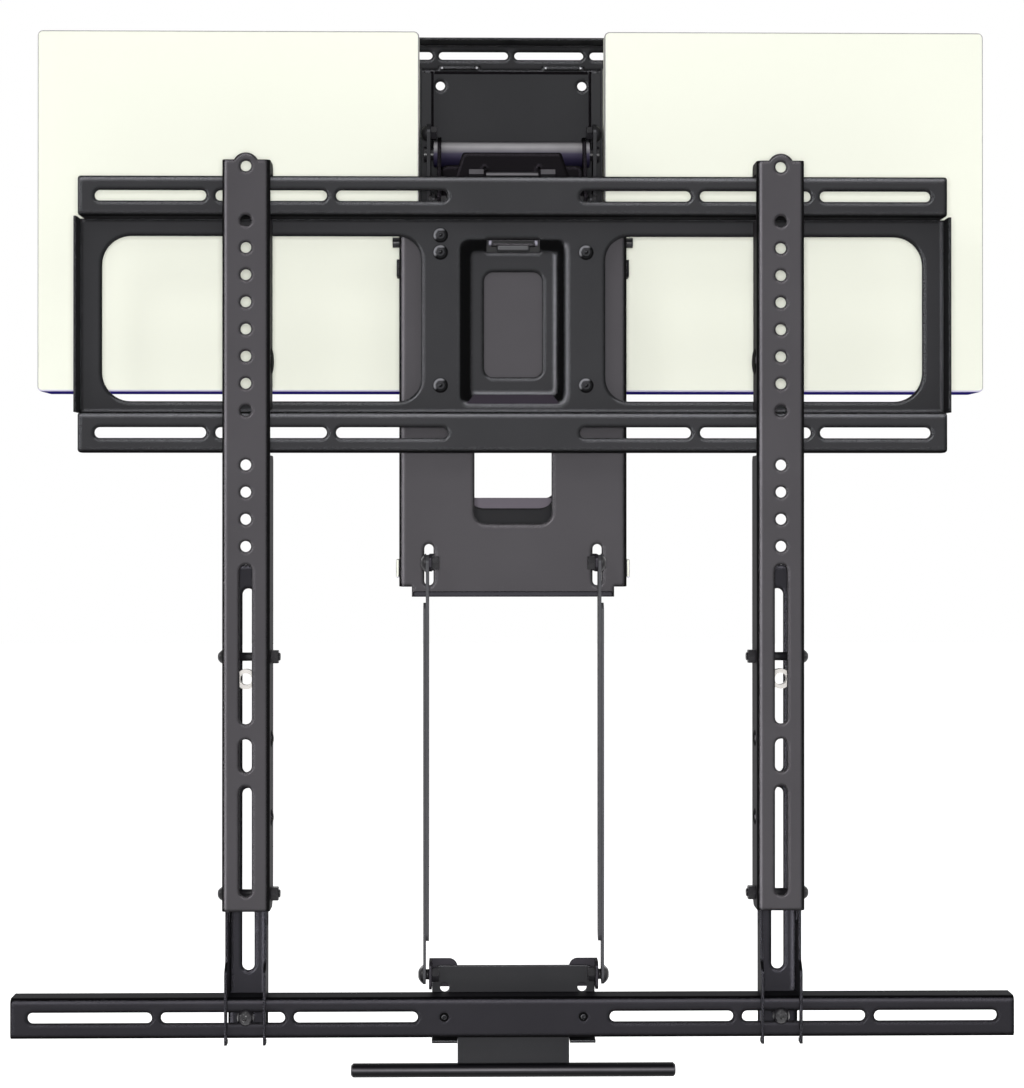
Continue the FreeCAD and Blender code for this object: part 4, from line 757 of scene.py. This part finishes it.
def bracket_bolts(side, x):
    """The bolts across an upright: a head on its outer flange and a nut on its inner one."""
    bm = bmesh.new()
    outward, inward, sign = OUTWARD_AND_BACK[0] if x > 0 else OUTWARD_AND_BACK[1]
    for z in BRACKET_BOLTS:
        inner = at(x - sign * BRACKET_HALF_WIDTH, BRACKET_BOLT_DEPTH, z)
        outer = at(x + sign * BRACKET_HALF_WIDTH, BRACKET_BOLT_DEPTH, z)
        domed_head(bm, outward, outer, radius=6.6, height=5.4, socket=2.6)
        shank(bm, outward, inner, radius=4.0, length=2 * BRACKET_HALF_WIDTH)
        hex_nut(bm, inward, inner, flats=12.0, height=7.2, stud_radius=3.6, stud=1.6)
    piece = new_piece("bracket_bolts_turned_" + side, bm, "side_bolt", "bracket_" + side)
    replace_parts(piece, "bracket_bolts_" + side)


def strap_bolts(name, body, z, outer, spaced):
    """The bolts through a pair of straps and their ears, with a spacer where the strap stands off."""
    bm = bmesh.new()
    for axis, back, sign in OUTWARD_AND_BACK:
        domed_head(bm, axis, at(sign * outer, STRAP_DEPTH, z), radius=8.8, height=5.2, socket=3.0)
        shank(bm, axis, at(sign * STRAP_STEM_X, STRAP_DEPTH, z), radius=3.5, length=outer - STRAP_STEM_X)
        hex_nut(bm, back, at(sign * STRAP_NUT_X, STRAP_DEPTH, z), flats=12.0, height=6.8)
        if spaced:
            washer(bm, axis, at(sign * STRAP_WASHER_X, STRAP_DEPTH, z), radius=4.8, height=2.9)
    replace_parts(new_piece(name + "_turned", bm, "side_bolt", body), name)


def stop_bolts():
    """The bolts beside the tube that stop the arms."""
    bm = bmesh.new()
    for axis, back, sign in OUTWARD_AND_BACK:
        head, stem, nut = (at(sign * x, *STOP_BOLT_PLACE) for x in (STOP_HEAD_X, STOP_STEM_X, STOP_NUT_X))
        domed_head(bm, axis, head, radius=7.8, height=6.0, socket=2.8)
        shank(bm, axis, stem, radius=4.0, length=STOP_HEAD_X - STOP_STEM_X)
        hex_nut(bm, back, nut, flats=12.0, height=6.0)
    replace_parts(new_piece("stop_bolts_turned", bm, "side_bolt", "main_arms"), "stop_bolts")


def hook_rivets():
    """Small bright rivets at the ends of the two hook tabs."""
    profile = [(0, 0), (1.7, 0), (1.6, 0.5), (1.0, 1.0), (0, 1.2)]
    bm = bmesh.new()
    for x in HOOK_RIVETS:
        lathe(bm, profile, "-y", at(x, *HOOK_RIVET_PLACE), steps=24)
    new_piece("hook_rivets", bm, "steel", "wall")


def flange_bumps(side, x):
    """Low pressed bumps on the inner flange of an upright."""
    bm = bmesh.new()
    _, inward, sign = OUTWARD_AND_BACK[0] if x > 0 else OUTWARD_AND_BACK[1]
    for z, radius in BUMPS:
        profile = [(0, BUMP_DOME[0][1])] + [(radius * share, level) for share, level in BUMP_DOME]
        lathe(bm, profile, inward, at(x - sign * BRACKET_HALF_WIDTH, BUMP_DEPTH, z), steps=40)
    new_piece("flange_bumps_" + side, bm, "upright", "bracket_" + side)


# Folded rims and small pads of the sheets: finish, body, slot (not used), rounding, and each bar's two corners as
# (x, depth, height). A bar that doesn't cross the middle stands on both sides.
ROUNDED_BARS = {
    # the two tabs at the wall plate's top, hooked forward over the rail
    "hook_lips": ("wall", "wall", "frame_powder", 0.9, (((33.0, 9.5, 140.6), (69.5, 6.0, 144.6)),)),
    # white pads pressed over the front panel's two lower side tabs
    "glide_pads": ("cover", "tilt", "nylon_white", 1.1, (((107.2, 102.0, -357.6), (110.0, 81.4, -340.4)),)),
    # flanges that close the gap between each cheek and its cover
    "cheek_strips": ("cheek", "wall", "frame_powder", 0.4, (((88.02, 17.6, -178.0), (89.95, 3.2, 141.0)),)),
    # dark strips as painted shadow along the wall plate's rim, under the rail and beside the cheeks' flanges
    "plate_shade_strips": ("hood", "wall", "rubber_black", 0.3, (((-76.0, 6.4, 137.0), (76.0, 5.6, 139.8)),
                                                          ((76.6, 6.4, 60.0), (80.0, 5.6, 139.8)))),
    # the front panel's hook in the dish's notch: a dark pad standing for painted shade behind the hook, a rounded tab,
    # and two ears coloured light as a painted highlight
    "hook_shade_pad": ("rubber", "tilt", "rubber_black", 0.3, (((-24.8, 107.6, -51.9), (24.8, 106.4, -41.2)),)),
    "hook_tab": ("tab", "tilt", "frame_powder", 2.2, (((-15.6, 116.8, -52.4), (15.6, 112.0, -45.6)),)),
    "hook_ears": ("lip", "tilt", "frame_powder", 1.2, (((19.6, 116.0, -46.6), (23.2, 111.0, -41.4)),)),
    # the rolled lower edge of the front panel, coloured darker and bluer than the panel as painted shade on its
    # downward roll
    "panel_hem": ("hem", "tilt", "frame_powder", 1.0, (((-93.5, 108.6, -375.4), (93.5, 106.0, -370.4)),)),
}
# Outlines of the dish's lower slope (a sheet of painted light), as (x, depth, height), and of the cable opening's rim
# (painted light)
DISH_SILL = ((-46.6, 117.0, -194.8), (46.6, 117.0, -194.8), (41.0, 110.0, -186.05), (-41.0, 110.0, -186.05))
SILL_LIFT = 0.15
CABLE_RIM_DEPTHS = (13.9, 14.4)
CABLE_RIM_TOP = -282.0
CABLE_RIM_HALF = 40.0
CABLE_RIM_CORNER = (27.0, -283.0)
CABLE_RIM_RADII = (13.0, 9.5)
CABLE_RIM_ANGLES = (0.1, 0.4, 0.7, 1.0, 1.3, 1.55)


def rounded_bars(name):
    """One piece of rounded bars, as ROUNDED_BARS says."""
    finish, body, slot, rounding, bars = ROUNDED_BARS[name]
    bm = bmesh.new()
    for low, high in bars:
        for side in BOTH_SIDES if low[0] > 0 else (1,):
            rounded_bar(bm, at(side * low[0], *low[1:]), at(side * high[0], *high[1:]), rounding * MM)
    new_piece(name, bm, finish, body)


def dish_sill():
    """The lower slope of the frame's dish: a thin sheet coloured lighter, as painted light where the slope faces up.
    """
    bm = bmesh.new()
    prism(bm, [[at(x, depth + out, z + out) for x, depth, z in DISH_SILL] for out in (0.0, SILL_LIFT)])
    new_piece("dish_sill", bm, "sill", "tilt")


def cable_lip():
    """The smooth rim of the wall plate's cable opening, coloured lighter than the plate as painted light."""
    outline = [(-CABLE_RIM_HALF, CABLE_RIM_TOP), (CABLE_RIM_HALF, CABLE_RIM_TOP)]
    outline += [(CABLE_RIM_CORNER[0] + CABLE_RIM_RADII[0] * math.cos(angle),
                 CABLE_RIM_CORNER[1] - CABLE_RIM_RADII[1] * math.sin(angle)) for angle in CABLE_RIM_ANGLES]
    outline += [(-x, z) for x, z in reversed(outline[2:])]
    bm = bmesh.new()
    prism(bm, [[at(x, depth, z) for x, z in outline] for depth in CABLE_RIM_DEPTHS])
    new_piece("cable_lip", bm, "cable", "wall")


# Camera, light and floor
def camera():
    data = bpy.data.cameras.new("camera")
    data.sensor_fit = "VERTICAL"
    data.sensor_height = SENSOR_HEIGHT
    data.lens = FOCAL_PIXELS / IMAGE_HEIGHT * SENSOR_HEIGHT
    data.shift_x = -AXIS_RIGHT_OF_MIDDLE / IMAGE_HEIGHT
    data.shift_y = AXIS_BELOW_MIDDLE / IMAGE_HEIGHT
    holder = bpy.data.objects.new("camera", data)
    holder.location = CAMERA_PLACE
    holder.rotation_euler = (math.radians(90 + CAMERA_PITCH), 0, math.radians(-CAMERA_YAW))
    bpy.context.scene.collection.objects.link(holder)
    bpy.context.scene.camera = holder


def lighting():
    for name, place, size, power in LAMPS:
        data = bpy.data.lights.new(name, "AREA")
        data.shape = "DISK"
        data.size = size
        data.energy = power
        lamp = bpy.data.objects.new(name, data)
        lamp.location = place
        aim = Vector(LAMP_TARGET) - Vector(place)
        lamp.rotation_euler = aim.to_track_quat("-Z", "Y").to_euler()
        bpy.context.scene.collection.objects.link(lamp)


def white_where_seen(nodes, links, plain, white):
    """Mix two shaders so that the camera, glass and mirrors see the white one."""
    path = nodes.new("ShaderNodeLightPath")
    seen = path.outputs["Is Camera Ray"]
    for ray in ("Is Transmission Ray", "Is Glossy Ray"):
        either = nodes.new("ShaderNodeMath")
        either.operation = "MAXIMUM"
        links.new(seen, either.inputs[0])
        links.new(path.outputs[ray], either.inputs[1])
        seen = either.outputs["Value"]
    mix = nodes.new("ShaderNodeMixShader")
    links.new(seen, mix.inputs["Fac"])
    links.new(plain, mix.inputs[1])
    links.new(white, mix.inputs[2])
    return mix.outputs["Shader"]


def background(nodes, strength):
    node = nodes.new("ShaderNodeBackground")
    node.inputs["Color"].default_value = WHITE
    node.inputs["Strength"].default_value = strength
    return node.outputs[0]


def world():
    scene_world = bpy.data.worlds.new("world")
    bpy.context.scene.world = scene_world
    scene_world.use_nodes = True
    nodes = scene_world.node_tree.nodes
    links = scene_world.node_tree.links
    nodes.clear()
    out = nodes.new("ShaderNodeOutputWorld")
    surface = white_where_seen(nodes, links, background(nodes, WORLD_STRENGTH), background(nodes, 1.0))
    links.new(surface, out.inputs["Surface"])


def floor_paper():
    """White paper: shaded as paper for the object, and lifted to white where the camera sees it."""
    material, nodes, links, shader, place = start_material("floor_paper")
    base = linear(PAPER_GREY)
    fibres = noise(nodes, links, place.outputs["Object"], scale=40.0, detail=4.0)
    links.new(clouded(nodes, links, fibres, scaled(base, 0.98), base), shader.inputs["Base Color"])
    shader.inputs["Roughness"].default_value = 0.9
    shader.inputs["Specular IOR Level"].default_value = 0.1
    lift = nodes.new("ShaderNodeEmission")
    lift.inputs["Color"].default_value = WHITE
    lift.inputs["Strength"].default_value = FLOOR_LIFT
    lit = nodes.new("ShaderNodeAddShader")
    links.new(shader.outputs[0], lit.inputs[0])
    links.new(lift.outputs[0], lit.inputs[1])
    surface = white_where_seen(nodes, links, shader.outputs[0], lit.outputs[0])
    links.new(surface, nodes["Material Output"].inputs["Surface"])
    return material


def floor():
    bm = bmesh.new()
    corners = ((-1, -1), (1, -1), (1, 1), (-1, 1))
    bm.faces.new([bm.verts.new((x * FLOOR_REACH, y * FLOOR_REACH, FLOOR_HEIGHT)) for x, y in corners])
    mesh = bpy.data.meshes.new("floor")
    bm.to_mesh(mesh)
    bm.free()
    plane = bpy.data.objects.new("floor", mesh)
    bpy.context.scene.collection.objects.link(plane)
    mesh.materials.append(floor_paper())


def main():
    finish_nodes()
    handle_bar()
    pivot_tube()
    frame_bolts()
    rail_bolts()
    stop_bolts()
    hook_rivets()
    rounded_bars("hook_lips")
    cable_lip()
    for name in ("glide_pads", "cheek_strips", "plate_shade_strips", "hook_shade_pad", "hook_tab", "hook_ears"):
        rounded_bars(name)
    dish_sill()
    rounded_bars("panel_hem")
    for name, body, z, outer, spaced in STRAP_BOLTS:
        strap_bolts(name, body, z, outer, spaced)
    for side, x in (("left", -BRACKET_X), ("right", BRACKET_X)):
        clamp_bolt(side, x)
        bracket_bolts(side, x)
        flange_bumps(side, x)
    camera()
    world()
    floor()
    lighting()
    bpy.context.scene.view_settings.view_transform = "Standard"


main()
